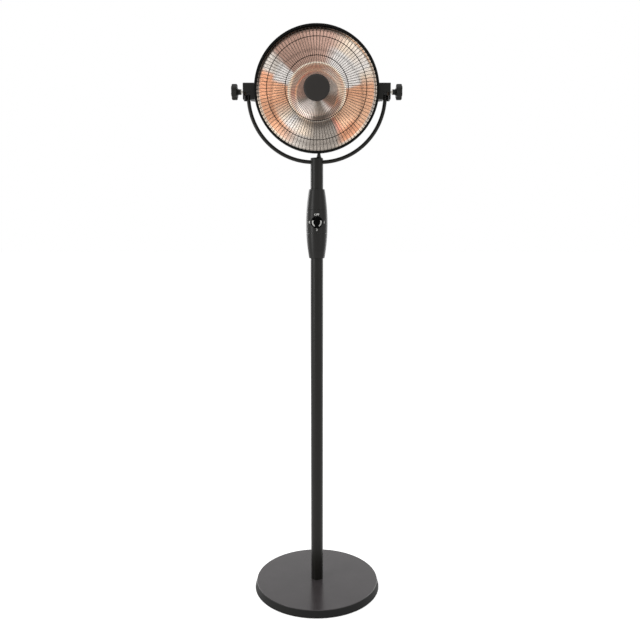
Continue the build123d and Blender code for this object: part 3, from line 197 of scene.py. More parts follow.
def new_material(name):
    """An empty node material and its tree."""
    material = bpy.data.materials.new(name)
    material.use_nodes = True
    material.node_tree.nodes.clear()
    return material, material.node_tree


print("middle grey #808080 is", round(linear("#808080")[0], 3), "in linear light")

# %% [markdown]
# ## Powder coat
#
# The pole, yoke, rim and shell are steel with a black polyester powder coat. The powder melts into a skin
# that is never quite flat: it has a soft orange-peel ripple of a millimetre or two and a satin sheen. The
# ripple could be modelled, but it only shows in how a highlight breaks, so a fine noise in the bump is
# enough. A coarser noise moves the roughness a little, so that highlights aren't dead even, and lays a trace
# of dust in patches. The hub, which is close to the element, has a duller and browner coat that stands the
# heat.


# %% Powder coat
def powder_coat(name, hex_colour, dust_hex, ripple_mm, depth_mm, roughness, gloss):
    """Satin polyester powder coat with an orange-peel ripple and a trace of dust in patches."""
    material, tree = new_material(name)
    place = add(tree, "TexCoord")
    ripple = add(tree, "TexNoise", {
        "Vector": (place, "Object"), "Scale": 1 / (ripple_mm * MM), "Detail": 2.0,
    })
    patches = add(tree, "TexNoise", {"Vector": (place, "Object"), "Scale": 1 / (90 * MM), "Detail": 5.0})
    dust = add(tree, "MapRange", {"Value": (patches, "Fac"), "From Min": 0.45, "From Max": 0.75,
                                  "To Max": 0.35})
    colour = add(tree, "Mix", {0: (dust, 0), MIX_A: linear(hex_colour), MIX_B: linear(dust_hex)},
                 data_type="RGBA")
    rough = add(tree, "MapRange", {"Value": (patches, "Fac"), "From Min": 0.3, "From Max": 0.7,
                                   "To Min": roughness - 0.05, "To Max": roughness + 0.06})
    bump = add(tree, "Bump", {"Height": (ripple, "Fac"), "Distance": depth_mm * MM, "Strength": 0.6})
    shader = add(tree, "BsdfPrincipled", {
        "Base Color": (colour, MIXED), "Roughness": (rough, 0), "Normal": (bump, 0), "IOR": 1.5,
        "Specular IOR Level": gloss,
    })
    add(tree, "OutputMaterial", {"Surface": (shader, 0)})
    return material


# Name, colour, dust's colour, ripple's width and depth in mm, roughness and gloss.
POLE_COAT = powder_coat("black_polyester_powder_coat", "#161512", "#1f1e1b", 1.6, 0.04, 0.34, 0.22)
SHELL_COAT = powder_coat("shell_polyester_powder_coat", "#1b1a17", "#262521", 1.6, 0.04, 0.36, 0.45)
RIM_COAT = powder_coat("rim_polyester_powder_coat", "#080807", "#121210", 1.6, 0.03, 0.40, 0.08)
HUB_COAT = powder_coat("hub_heat_resistant_coat", "#2c2927", "#35322f", 1.4, 0.05, 0.50, 0.20)
print("powder coats", [coat.name for coat in (POLE_COAT, SHELL_COAT, RIM_COAT, HUB_COAT)])

# %% [markdown]
# ## Moulded plastic
#
# The housing, pivot blocks and knobs are glass-filled nylon. Its mould is spark-eroded, which leaves an even
# fine grain that scatters light, so the plastic looks greyer and softer than paint. The true grain is too
# fine to show, so it is drawn nearly a millimetre wide. The sharp edges that a mould never gives could be
# rounded in the mesh, but rounding them in the shading looks the same from here and takes no faces. The same
# function makes the friction discs' pressed fibre, which is brown and rougher.

# %% Moulded plastic
MOULDED_EDGE = 0.5 * MM


def moulded_plastic(name, hex_colour, grain_mm, depth_mm, roughness, gloss):
    """Moulded thermoplastic with a spark-eroded grain."""
    material, tree = new_material(name)
    place = add(tree, "TexCoord")
    grain = add(tree, "TexNoise", {"Vector": (place, "Object"), "Scale": 1 / (grain_mm * MM), "Detail": 3.0})
    edge = add(tree, "Bevel", {"Radius": MOULDED_EDGE}, samples=4)
    bump = add(tree, "Bump", {"Height": (grain, "Fac"), "Distance": depth_mm * MM, "Strength": 0.5,
                              "Normal": (edge, 0)})
    rough = add(tree, "MapRange", {"Value": (grain, "Fac"), "From Min": 0.3, "From Max": 0.7,
                                   "To Min": roughness - 0.04, "To Max": roughness + 0.04})
    shader = add(tree, "BsdfPrincipled", {
        "Base Color": linear(hex_colour), "Roughness": (rough, 0), "Normal": (bump, 0), "IOR": 1.53,
        "Specular IOR Level": gloss,
    })
    add(tree, "OutputMaterial", {"Surface": (shader, 0)})
    return material


# Name, colour, grain's width and depth in mm, roughness and gloss.
NYLON = moulded_plastic("black_glass_filled_nylon", "#171714", 0.9, 0.06, 0.42, 0.18)
HOUSING_NYLON = moulded_plastic("housing_glass_filled_nylon", "#181715", 0.9, 0.05, 0.34, 0.22)
WHITE_NYLON = moulded_plastic("white_nylon", "#d8d6cf", 0.8, 0.03, 0.45, 0.50)
FIBRE = moulded_plastic("pressed_friction_fibre", "#4a3b2c", 0.6, 0.08, 0.80, 0.50)
print("moulded", [plastic.name for plastic in (NYLON, HOUSING_NYLON, WHITE_NYLON, FIBRE)])

# %% [markdown]
# ## Base plate's coat
#
# The base is coated in the same polyester, but its level top lay still in the oven, so the powder flowed out
# into a clear skin that mirrors the pole: a coat over the paint, on the top only. A little dust rests on the
# top in patches. The sloping edge is painted darker than the top as shade, and nearly black where it meets
# the floor, as a painted shadow.
# Two materials would need a seam between them, and the real one has none, so one material follows the height
# above the floor.

# %% Base plate's coat
BASE_TOP = 26 * MM
# The edge's painted shadow is black below the first height and gone above the second.
FLOOR_SHADOW_BELOW = 3 * MM
FLOOR_SHADOW_ABOVE = 9 * MM
CLEAR_SKIN = 0.38


def base_coat(name, top_hex, dust_hex, shaded_side_hex, floor_shadow_hex):
    """Smooth powder coat: dusty grey under a clear skin on the top, painted shade on the edge, black at the
    floor.
    """
    material, tree = new_material(name)
    place = add(tree, "TexCoord")
    split = add(tree, "SeparateXYZ", {0: (place, "Object")})
    out_of_floor_shadow = add(tree, "MapRange", {"Value": (split, "Z"), "From Min": FLOOR_SHADOW_BELOW, "From Max": FLOOR_SHADOW_ABOVE})
    to_top = add(tree, "MapRange", {"Value": (split, "Z"), "From Min": BASE_TOP - 2 * MM,
                                    "From Max": BASE_TOP - 1 * MM})
    dust = add(tree, "TexNoise", {"Vector": (place, "Object"), "Scale": 1 / (70 * MM), "Detail": 6.0})
    dusty = add(tree, "MapRange", {"Value": (dust, "Fac"), "From Min": 0.35, "From Max": 0.7, "To Max": 0.5})
    top = add(tree, "Mix", {0: (dusty, 0), MIX_A: linear(top_hex), MIX_B: linear(dust_hex)}, data_type="RGBA")
    # The edge is painted shade, and black at the floor as a painted shadow.
    side = add(tree, "Mix", {0: (out_of_floor_shadow, 0), MIX_A: linear(floor_shadow_hex), MIX_B: linear(shaded_side_hex)},
               data_type="RGBA")
    colour = add(tree, "Mix", {0: (to_top, 0), MIX_A: (side, MIXED), MIX_B: (top, MIXED)}, data_type="RGBA")
    rough = add(tree, "MapRange", {"Value": (to_top, 0), "To Min": 0.60, "To Max": 0.23})
    skin = add(tree, "Math", {0: (to_top, 0), 1: CLEAR_SKIN}, operation="MULTIPLY")
    ripple = add(tree, "TexNoise", {"Vector": (place, "Object"), "Scale": 1 / (2.5 * MM), "Detail": 2.0})
    bump = add(tree, "Bump", {"Height": (ripple, "Fac"), "Distance": 0.02 * MM, "Strength": 0.5})
    shader = add(tree, "BsdfPrincipled", {
        "Base Color": (colour, MIXED), "Roughness": (rough, 0), "Normal": (bump, 0), "IOR": 1.5,
        "Specular IOR Level": 0.22, "Coat Weight": (skin, 0), "Coat Roughness": 0.20,
    })
    add(tree, "OutputMaterial", {"Surface": (shader, 0)})
    return material


BASE_COAT = base_coat("base_polyester_powder_coat", top_hex="#393536", dust_hex="#433e40", shaded_side_hex="#0a0a09",
                      floor_shadow_hex="#010101")
print("base's coat", BASE_COAT.name)

# %% [markdown]
# ## Dial
#
# The dial is glossy black ABS from a polished mould. Its face is dished either side of the finger grip, and
# the two hollows carry a painted highlight each: a silver arc where the dished face would reflect the light.
# The painted highlights aren't pieces of their own but part of the finish: a ring round the dial's own axis,
# cut away near the grip and near the top. For that, a helper measures each point of a round face from the
# face's own middle. The guard and the dish use it too.

# %% Dial
DIAL_HEIGHT = 1224 * MM
DIAL_EDGE = 0.6 * MM
# Where the two painted highlights lie: round the dial's axis, clear of the grip and below the top.
ARC_MIDDLE = 13 * MM
ARC_HALF = 2.0 * MM
ARC_FROM_GRIP = 6.5 * MM
ARC_TOP = 5.5 * MM


def face_place(tree, place, centre_height):
    """Where a point lies on a round face that looks forward, from its middle, as pairs that can be linked."""
    split = add(tree, "SeparateXYZ", {0: (place, "Object")})
    up = add(tree, "Math", {0: (split, "Z"), 1: centre_height}, operation="SUBTRACT")
    flat = add(tree, "CombineXYZ", {"X": (split, "X"), "Y": (up, 0)})
    radius = add(tree, "VectorMath", {0: (flat, 0)}, operation="LENGTH")
    return {"across": (split, "X"), "up": (up, 0), "flat": (flat, 0), "radius": (radius, "Value")}


def dial_with_painted_highlights(name, body_hex, highlight_hex):
    """Glossy black ABS with two painted highlights, silver arcs in the dished face."""
    material, tree = new_material(name)
    place = add(tree, "TexCoord")
    face = face_place(tree, place, DIAL_HEIGHT)
    # The two arcs are painted highlights, where the dished face would reflect the light.
    ring = add(tree, "Math", {0: face["radius"], 1: ARC_MIDDLE, 2: ARC_HALF}, operation="COMPARE")
    beside = add(tree, "Math", {0: face["across"]}, operation="ABSOLUTE")
    clear = add(tree, "Math", {0: (beside, 0), 1: ARC_FROM_GRIP}, operation="GREATER_THAN")
    sides = add(tree, "Math", {0: (ring, 0), 1: (clear, 0)}, operation="MULTIPLY")
    low = add(tree, "Math", {0: face["up"], 1: ARC_TOP}, operation="LESS_THAN")
    arc = add(tree, "Math", {0: (sides, 0), 1: (low, 0)}, operation="MULTIPLY")
    highlight_and_gloss_patches = add(tree, "TexNoise", {"Vector": (place, "Object"), "Scale": 1 / (3 * MM), "Detail": 4.0})
    highlight_cover = add(tree, "MapRange", {"Value": (highlight_and_gloss_patches, "Fac"), "From Min": 0.3, "From Max": 0.6, "To Min": 0.75})
    amount = add(tree, "Math", {0: (arc, 0), 1: (highlight_cover, 0)}, operation="MULTIPLY")
    colour = add(tree, "Mix", {0: (amount, 0), MIX_A: linear(body_hex), MIX_B: linear(highlight_hex)},
                 data_type="RGBA")
    edge = add(tree, "Bevel", {"Radius": DIAL_EDGE}, samples=4)
    rough = add(tree, "MapRange", {"Value": (highlight_and_gloss_patches, "Fac"), "To Min": 0.08, "To Max": 0.16})
    shader = add(tree, "BsdfPrincipled", {
        "Base Color": (colour, MIXED), "Roughness": (rough, 0), "Normal": (edge, 0), "IOR": 1.53,
        "Specular IOR Level": 0.03,
    })
    add(tree, "OutputMaterial", {"Surface": (shader, 0)})
    return material


GLOSSY_ABS = dial_with_painted_highlights("glossy_black_abs_with_painted_highlights", "#020202", "#e4e4e0")
print("dial", GLOSSY_ABS.name)

# %% [markdown]
# ## Rubber
#
# Feet, boot and glands are black EPDM rubber, and the lead's sheath is silicone rubber, which stands the
# heat. Rubber is a dark diffuse surface with a wide dull sheen, which lights it where it turns away from the
# eye, and a faint grey bloom in patches. Its mould leaves a fine texture, drawn nearly a millimetre wide so
# that it shows.

# %% Rubber
BLOOM = "#2a2927"


def rubber(name, hex_colour, roughness):
    """Moulded rubber with a faint bloom."""
    material, tree = new_material(name)
    place = add(tree, "TexCoord")
    bloom = add(tree, "TexNoise", {"Vector": (place, "Object"), "Scale": 1 / (12 * MM), "Detail": 6.0})
    fine = add(tree, "TexNoise", {"Vector": (place, "Object"), "Scale": 1 / (0.8 * MM)})
    amount = add(tree, "MapRange", {"Value": (bloom, "Fac"), "From Min": 0.4, "From Max": 0.8, "To Max": 0.5})
    colour = add(tree, "Mix", {0: (amount, 0), MIX_A: linear(hex_colour), MIX_B: linear(BLOOM)},
                 data_type="RGBA")
    bump = add(tree, "Bump", {"Height": (fine, "Fac"), "Distance": 0.05 * MM, "Strength": 0.5})
    shader = add(tree, "BsdfPrincipled", {
        "Base Color": (colour, MIXED), "Roughness": roughness, "Normal": (bump, 0), "IOR": 1.52,
        "Sheen Weight": 0.15,
    })
    add(tree, "OutputMaterial", {"Surface": (shader, 0)})
    return material


EPDM = rubber("black_epdm_rubber", "#141412", 0.62)
SILICONE = rubber("black_silicone_rubber", "#121211", 0.50)
print("rubbers", EPDM.name, SILICONE.name)

# %% [markdown]
# ## Bare and plated metal
#
# Screws and studs are zinc plated, the plate under the base and the tube inside the pole are galvanised
# sheet with its broad crystals, the heat shield is mill-finish aluminium and the inserts are turned brass. A
# metal's colour is the colour of its reflection, and with one even roughness it looks like grey plastic. So
# these differ by base colour, by roughness and by the size of the patches over which the roughness wanders
# and the surface dulls.

# %% Metals
DULLED = "#6e6c68"


def metal(name, hex_colour, roughness, spread, patch_mm):
    """A metal whose roughness wanders over patches of a given size."""
    material, tree = new_material(name)
    place = add(tree, "TexCoord")
    patches = add(tree, "TexNoise", {
        "Vector": (place, "Object"), "Scale": 1 / (patch_mm * MM), "Detail": 4.0,
    })
    rough = add(tree, "MapRange", {"Value": (patches, "Fac"), "From Min": 0.3, "From Max": 0.7,
                                   "To Min": roughness - spread, "To Max": roughness + spread})
    dull = add(tree, "MapRange", {"Value": (patches, "Fac"), "From Min": 0.3, "From Max": 0.7,
                                  "To Max": 0.25})
    colour = add(tree, "Mix", {0: (dull, 0), MIX_A: linear(hex_colour), MIX_B: linear(DULLED)},
                 data_type="RGBA")
    shader = add(tree, "BsdfPrincipled", {
        "Base Color": (colour, MIXED), "Metallic": 1.0, "Roughness": (rough, 0),
    })
    add(tree, "OutputMaterial", {"Surface": (shader, 0)})
    return material


# Name, colour, roughness and how far it wanders, and the patches' size in mm.
ZINC = metal("zinc_plated_steel", "#bdbab2", 0.32, 0.10, 3.0)
GALVANISED = metal("galvanised_steel", "#a9aaa8", 0.42, 0.12, 9.0)
MILL_ALUMINIUM = metal("mill_finish_aluminium", "#c9cacb", 0.35, 0.10, 20.0)
BRASS = metal("turned_brass", "#c9a35c", 0.25, 0.06, 4.0)
print("metals", [plate.name for plate in (ZINC, GALVANISED, MILL_ALUMINIUM, BRASS)])

# %% [markdown]
# ## Heating wire
#
# The winding is a heating alloy under a dark matt oxide. It is switched on, so it gives off a little light
# of its own, paler where the winding is hotter. A weak emission in the material is enough for that, and
# needs no lamp inside the dish. The oxide's own grain is too fine to show, so it is drawn a millimetre wide.


# %% Heating wire
def glowing_alloy(name, hex_colour, glow_hex, hot_hex):
    """Oxidised heating alloy that glows a little, paler where the winding is hotter."""
    material, tree = new_material(name)
    place = add(tree, "TexCoord")
    heat = add(tree, "TexNoise", {"Vector": (place, "Object"), "Scale": 1 / (15 * MM), "Detail": 2.0})
    glow = add(tree, "Mix", {0: (heat, "Fac"), MIX_A: linear(glow_hex), MIX_B: linear(hot_hex)},
               data_type="RGBA")
    scale = add(tree, "TexNoise", {"Vector": (place, "Object"), "Scale": 1 / (1 * MM), "Detail": 3.0})
    rough = add(tree, "MapRange", {"Value": (scale, "Fac"), "To Min": 0.40, "To Max": 0.70})
    shader = add(tree, "BsdfPrincipled", {
        "Base Color": linear(hex_colour), "Metallic": 1.0, "Roughness": (rough, 0),
        "Emission Color": (glow, MIXED), "Emission Strength": 0.2,
    })
    add(tree, "OutputMaterial", {"Surface": (shader, 0)})
    return material


HEATING_ALLOY = glowing_alloy("oxidised_heating_alloy", "#7d6a5d", "#ff6a30", "#ffb070")
print("winding", HEATING_ALLOY.name)

# %% [markdown]
# ## Guard wires
#
# The guard is one weldment of bright nickel-plated wire. Its radial wires are bare plate, and its ring wires
# lie behind them and are painted darker still. Two materials would need two pieces, and the CAD has one, so
# the finish tells the wires apart by their distance from the head's axis. Thin wires in front of a glowing
# dish look dark, so both tones are painted shade, darker than fresh plate.

# %% Guard wires
PIVOT_HEIGHT = 1623 * MM
RING_RADII = (95.2 * MM, 151 * MM)
RING_HALF = 1.5 * MM


def guard_wire(name, radial_shaded_hex, ring_shaded_hex):
    """Nickel plate on wire in painted shade, darker still on the ring wires."""
    material, tree = new_material(name)
    place = add(tree, "TexCoord")
    face = face_place(tree, place, PIVOT_HEIGHT)
    # Both tones are painted shade, darker than the plate, as thin wires look in front of the bright dish.
    colour = linear(radial_shaded_hex)
    for ring in RING_RADII:
        near = add(tree, "Math", {0: face["radius"], 1: ring, 2: RING_HALF}, operation="COMPARE")
        mixed = add(tree, "Mix", {0: (near, 0), MIX_A: colour, MIX_B: linear(ring_shaded_hex)}, data_type="RGBA")
        colour = (mixed, MIXED)
    patches = add(tree, "TexNoise", {"Vector": (place, "Object"), "Scale": 1 / (8 * MM), "Detail": 4.0})
    rough = add(tree, "MapRange", {"Value": (patches, "Fac"), "To Min": 0.20, "To Max": 0.40})
    shader = add(tree, "BsdfPrincipled", {"Base Color": colour, "Metallic": 1.0, "Roughness": (rough, 0)})
    add(tree, "OutputMaterial", {"Surface": (shader, 0)})
    return material


NICKEL = guard_wire("nickel_plated_guard_wire", "#48433e", "#141210")
print("guard", NICKEL.name, "with", len(RING_RADII), "dulled rings")

# %% [markdown]
# ## The dish's tints
#
# The reflector is spun aluminium, polished and anodised. Its tints are painted reflections of the warm
# element and the room, in soft sectors round its axis: amber at the left and right, silver white above them,
# a dusty rose over the top and silver grey at the bottom. A plain mirror could show a modelled room, but what
# stood in the real one isn't known. A spun dish smears every reflection across its turning marks, so each
# painted reflection belongs to an angle round the head's axis, and a few plain tints with a colour ramp
# between them are enough. The dish has seven zones, from the edge under the rim to the well's floor, and each
# has its own sectors.

# %% The dish's tints
AMBER = "#f6b690"
PEACH = "#ffcaa6"
COPPER = "#d89a78"
CORAL = "#f2a28a"
SAND = "#f0cab2"
CREAM = "#fae6d0"
IVORY = "#fff3e0"
SILVER_WHITE = "#f8f3ef"
PEARL = "#c6beb6"
SILVER_GREY = "#989088"
ROSE = "#cca798"
MAUVE = "#b69384"
UMBER = "#8d7464"
STEEL_GREY = "#6c655f"
RIM_SHADE_DARK = "#262320"
REFLECTION_STREAK_TINT = "#8d8076"

# Where each painted reflection tint is full, in degrees counter-clockwise from the right as seen from the
# front.
# The edge under the rim is painted shade at its top, where it would reflect the dark rim.
EDGE_SECTORS = [
    (-180, SILVER_GREY), (-166, CREAM), (-136, CREAM), (-112, PEARL), (-94, SILVER_GREY), (-74, SILVER_GREY),
    (-44, CREAM), (-20, PEARL), (45, CREAM), (66, STEEL_GREY), (80, RIM_SHADE_DARK), (150, RIM_SHADE_DARK), (170, STEEL_GREY),
    (180, SILVER_GREY),
]
OUTER_SECTORS = [
    (-180, COPPER), (-164, AMBER), (-140, AMBER), (-112, PEARL), (-96, SILVER_GREY), (-66, SILVER_GREY),
    (-58, COPPER), (-42, COPPER), (-30, PEACH), (4, AMBER), (16, CREAM), (26, SILVER_WHITE), (56, CREAM),
    (72, ROSE), (110, MAUVE), (138, MAUVE), (145, PEARL), (156, PEARL), (162, COPPER), (180, COPPER),
]
DISH_SECTORS = [
    (-180, AMBER), (-165, AMBER), (-144, CREAM), (-132, SILVER_WHITE), (-112, CREAM), (-94, SILVER_GREY),
    (-64, SILVER_GREY), (-58, CORAL), (-52, PEACH), (-22, PEACH), (-4, AMBER), (6, AMBER), (10, SILVER_WHITE),
    (60, SILVER_WHITE), (76, ROSE), (100, MAUVE), (139, MAUVE), (144, SILVER_WHITE), (165, SILVER_WHITE),
    (170, AMBER), (180, AMBER),
]
# The bead is a painted highlight, an ivory ring, greyer at the bottom.
BEAD_SECTORS = [
    (-180, IVORY), (-150, IVORY), (-128, CREAM), (-104, SILVER_GREY), (-66, SILVER_GREY), (-44, CREAM),
    (-28, IVORY), (180, IVORY),
]
WALL_SECTORS = [
    (-180, ROSE), (-150, SILVER_WHITE), (-114, SILVER_WHITE), (-99, STEEL_GREY), (-60, STEEL_GREY),
    (-40, PEARL), (-20, ROSE), (4, CREAM), (60, SILVER_WHITE), (84, SAND), (112, SAND), (150, PEARL),
    (180, ROSE),
]
FLOOR_SECTORS = [
    (-180, MAUVE), (-160, SILVER_GREY), (-142, SILVER_WHITE), (-112, SILVER_WHITE), (-94, PEARL),
    (-84, SILVER_GREY), (-68, SILVER_GREY), (-52, SILVER_WHITE), (-38, MAUVE), (-28, UMBER), (-8, UMBER),
    (14, PEARL), (40, PEARL), (66, ROSE), (120, ROSE), (160, MAUVE), (180, MAUVE),
]
LIP_SECTORS = [
    (-180, PEACH), (-150, SILVER_WHITE), (-110, SILVER_WHITE), (-90, SILVER_GREY), (-50, SILVER_GREY),
    (-20, COPPER), (20, PEARL), (60, SAND), (90, ROSE), (130, CORAL), (165, PEACH), (180, PEACH),
]
print("dish ramps", len(DISH_SECTORS), "stops on the dish,", len(FLOOR_SECTORS), "on the well's floor")

# %% [markdown]
# ## The dish's zones and glow
#
# The steep edge under the rim is painted darkest at the top, as shade and the dark rim's reflection. The
# rolled bead is a painted highlight, a thin ivory ring, greyer at the bottom, and inside it the well has a
# calmer wall, a narrow lip and a floor. The heater is switched on, and the metal gets a painted glow in its
# own tints as well, light that the aluminium doesn't give off, which fades towards the rim and is strongest
# on the well's floor. Faint darker streaks run outwards across the turning marks, painted as smeared
# reflections. The marks are finer than the picture can show, so they are drawn 2.2 mm apart: a wave texture
# makes a ring every 0.314 of its own unit, and its unit here is 7 mm.

# %% The dish's zones
FLOOR_RADIUS = 66 * MM
BEAD_INNER = 82 * MM
BEAD_OUTER = 91 * MM
OUTER_RADIUS = 138 * MM
EDGE_RADIUS = 176 * MM
LIP_HALF = 2.5 * MM
# Each zone is painted over those before it, from nothing at the first radius to all of it at the second.
ZONES = [
    (OUTER_RADIUS - 5 * MM, OUTER_RADIUS + 5 * MM, OUTER_SECTORS),
    (EDGE_RADIUS - 3 * MM, EDGE_RADIUS + 1 * MM, EDGE_SECTORS),
    (BEAD_OUTER + 1 * MM, BEAD_OUTER - 1 * MM, BEAD_SECTORS),
    (BEAD_INNER + 1 * MM, BEAD_INNER - 1 * MM, WALL_SECTORS),
    (FLOOR_RADIUS + 2 * MM, FLOOR_RADIUS - 2 * MM, FLOOR_SECTORS),
]
print("dish", len(ZONES) + 2, "zones, with the inner dish and the lip")

# %% [markdown]
# In the finish itself the angle picks a tint on each ramp, the radius picks the zone, and a slow noise moves
# the angle by up to a tenth of a radian, so that no sector has a straight edge.

# %% The dish's finish
PAINTED_GLOW_REACH = 150 * MM
PAINTED_GLOW_FULL = 60 * MM
DISH_PAINTED_GLOW = 0.34
WELL_FLOOR_PAINTED_GLOW = 0.30
WAVER = 0.10
STREAKS_A_RADIAN = 60
STREAKS_A_METRE = 6
MARKS_UNIT = 7 * MM


def angle_ramp(tree, angle, sectors):
    """A colour ramp over a full turn, from (degrees, colour) stops between -180 and 180."""
    ramp = add(tree, "ValToRGB", {"Fac": (angle, 0)})
    stops = ramp.color_ramp.elements
    while len(stops) < len(sectors):
        stops.new(0.5)
    for stop, (degrees, hex_colour) in zip(stops, sectors):
        stop.position = (degrees + 180) / 360
        stop.color = linear(hex_colour)
    return ramp


def dish_with_painted_light(name):
    """Spun and polished aluminium with painted reflections of the room and the element in soft sectors, and a
    painted glow.
    """
    material, tree = new_material(name)
    face = face_place(tree, add(tree, "TexCoord"), PIVOT_HEIGHT)
    turn = add(tree, "Math", {0: face["up"], 1: face["across"]}, operation="ARCTAN2")
    waver = add(tree, "TexNoise", {"Vector": face["flat"], "Scale": 1 / (60 * MM), "Detail": 2.0})
    wavered = add(tree, "MapRange", {"Value": (waver, "Fac"), "To Min": -WAVER, "To Max": WAVER})
    moved = add(tree, "Math", {0: (turn, 0), 1: (wavered, 0)}, operation="ADD")
    angle = add(tree, "MapRange", {"Value": (moved, 0), "From Min": -math.pi, "From Max": math.pi})

    # Each ramp paints the reflections of the room and the element as tints round the axis.
    colour = (angle_ramp(tree, angle, DISH_SECTORS), 0)
    for start, full, sectors in ZONES:
        zone = add(tree, "MapRange", {"Value": face["radius"], "From Min": start, "From Max": full})
        tints = angle_ramp(tree, angle, sectors)
        mixed = add(tree, "Mix", {0: (zone, 0), MIX_A: colour, MIX_B: (tints, 0)}, data_type="RGBA")
        colour = (mixed, MIXED)
    on_floor = zone  # the last zone is the well's floor
    on_lip = add(tree, "Math", {0: face["radius"], 1: FLOOR_RADIUS, 2: LIP_HALF}, operation="COMPARE")
    lip_tints = angle_ramp(tree, angle, LIP_SECTORS)
    plain = add(tree, "Mix", {0: (on_lip, 0), MIX_A: colour, MIX_B: (lip_tints, 0)}, data_type="RGBA")

    # Darker radial streaks, painted as the reflections that the turning marks smear outwards.
    polar = add(tree, "CombineXYZ", {"X": (turn, 0), "Y": face["radius"]})
    stretched = add(tree, "VectorMath", {0: (polar, 0), 1: (STREAKS_A_RADIAN, STREAKS_A_METRE, 1)},
                    operation="MULTIPLY")
    streak = add(tree, "TexNoise", {"Vector": (stretched, 0), "Scale": 1.0, "Detail": 2.0})
    darker = add(tree, "MapRange", {"Value": (streak, "Fac"), "From Min": 0.40, "From Max": 0.75,
                                    "To Max": 0.14})
    painted_reflection_tone = add(tree, "Mix", {0: (darker, 0), MIX_A: (plain, MIXED), MIX_B: linear(REFLECTION_STREAK_TINT)},
                     data_type="RGBA")

    # A painted glow: light that the metal doesn't give off, strongest on the well's floor and gone towards
    # the rim.
    lit = add(tree, "MapRange", {"Value": face["radius"], "From Min": PAINTED_GLOW_REACH, "From Max": PAINTED_GLOW_FULL,
                                 "To Max": DISH_PAINTED_GLOW})
    painted_glow_amount = add(tree, "Math", {0: (on_floor, 0), 1: WELL_FLOOR_PAINTED_GLOW, 2: (lit, 0)}, operation="MULTIPLY_ADD")
    glow = add(tree, "Mix", {0: (painted_glow_amount, 0), MIX_A: linear("#000000"), MIX_B: (painted_reflection_tone, MIXED)},
               data_type="RGBA")
    marks = add(tree, "TexWave", {"Vector": face["flat"], "Scale": 1 / MARKS_UNIT, "Distortion": 0.4},
                wave_type="RINGS", rings_direction="SPHERICAL")
    bump = add(tree, "Bump", {"Height": (marks, "Fac"), "Distance": 0.004 * MM, "Strength": 0.4})
    shader = add(tree, "BsdfPrincipled", {
        "Base Color": (painted_reflection_tone, MIXED), "Metallic": 1.0, "Roughness": 0.16, "Normal": (bump, 0),
        "Emission Color": (glow, MIXED), "Emission Strength": 1.0,
    })
    add(tree, "OutputMaterial", {"Surface": (shader, 0)})
    return material


POLISHED_ALUMINIUM = dish_with_painted_light("polished_spun_aluminium_with_painted_light")
print("dish", POLISHED_ALUMINIUM.name, "with", len(POLISHED_ALUMINIUM.node_tree.nodes), "nodes")

# %% [markdown]
# ## Ceramic and concrete
#
# The element is wound on steatite, a cream white ceramic with a dry surface. The weight in the base is cast
# concrete. Both are plain rough surfaces, with specks in one and air holes in the other, so one function can
# make both.


# %% Ceramic and concrete
def mineral(name, hex_colour, speck_hex, speck_mm, roughness):
    """Fired or cast mineral with specks of a given size."""
    material, tree = new_material(name)
    place = add(tree, "TexCoord")
    specks = add(tree, "TexNoise", {"Vector": (place, "Object"), "Scale": 1 / (speck_mm * MM), "Detail": 8.0})
    amount = add(tree, "MapRange", {"Value": (specks, "Fac"), "From Min": 0.5, "From Max": 0.7})
    colour = add(tree, "Mix", {0: (amount, 0), MIX_A: linear(hex_colour), MIX_B: linear(speck_hex)},
                 data_type="RGBA")
    bump = add(tree, "Bump", {"Height": (specks, "Fac"), "Distance": 0.2 * MM, "Strength": 0.4})
    shader = add(tree, "BsdfPrincipled", {
        "Base Color": (colour, MIXED), "Roughness": roughness, "Normal": (bump, 0), "IOR": 1.58,
    })
    add(tree, "OutputMaterial", {"Surface": (shader, 0)})
    return material


STEATITE = mineral("steatite_ceramic", "#e2dac8", "#cfc3ac", 2.0, 0.65)
CONCRETE = mineral("cast_concrete", "#8f8c86", "#6d6a64", 4.0, 0.90)
print("minerals", STEATITE.name, CONCRETE.name)

# %% [markdown]
# ## Dress the CAD nodes
#
# Every CAD piece keeps its shape and gets the finish of the real one. One table says which. The side
# brackets are die cast and enamelled to match the pivot blocks, so they share the blocks' finish.

# %% Finishes of the CAD nodes
FINISHES = {
    POLE_COAT: ["lower_tube", "upper_tube", "yoke"],
    SHELL_COAT: ["rear_shell"],
    RIM_COAT: ["rim_band"],
    BASE_COAT: ["base_cover"],
    HUB_COAT: ["hub_cap"],
    HOUSING_NYLON: ["housing_upper_sleeve", "housing_lower_sleeve", "control_band_front",
                    "control_band_rear"],
    NYLON: ["pole_cap", "pivot_block_left", "pivot_block_right", "side_bracket_left", "side_bracket_right",
            "knob_grip_left", "knob_grip_right", "junction_cover"],
    GLOSSY_ABS: ["dial_knob"],
    WHITE_NYLON: ["rotary_switch", "terminal_block", "tilt_sensor", "terminal_strip", "element_leads"],
    FIBRE: ["friction_discs"],
    EPDM: ["base_feet", "cable_boot", "mains_gland", "junction_gland", "rim_seal", "upper_lead"],
    ZINC: ["under_plate_screws", "base_bolt", "pole_screws", "band_screws", "switch_nut", "dial_shaft",
           "rim_screws", "hub_screw", "junction_screws", "bracket_screws", "knob_stud_left",
           "knob_stud_right", "knob_washer_left", "knob_washer_right"],
    NICKEL: ["grille_wires"],
    GALVANISED: ["base_under_plate", "pole_socket", "tube_coupler"],
    MILL_ALUMINIUM: ["hub_plate", "heat_shield", "bracket_rivets"],
    BRASS: ["thread_inserts"],
    HEATING_ALLOY: ["element_coil"],
    POLISHED_ALUMINIUM: ["reflector"],
    STEATITE: ["element_core", "element_base"],
    CONCRETE: ["base_weight"],
}


def dress(piece, material):
    """Gives a piece one material in all its slots."""
    piece.data.materials.clear()
    piece.data.materials.append(material)


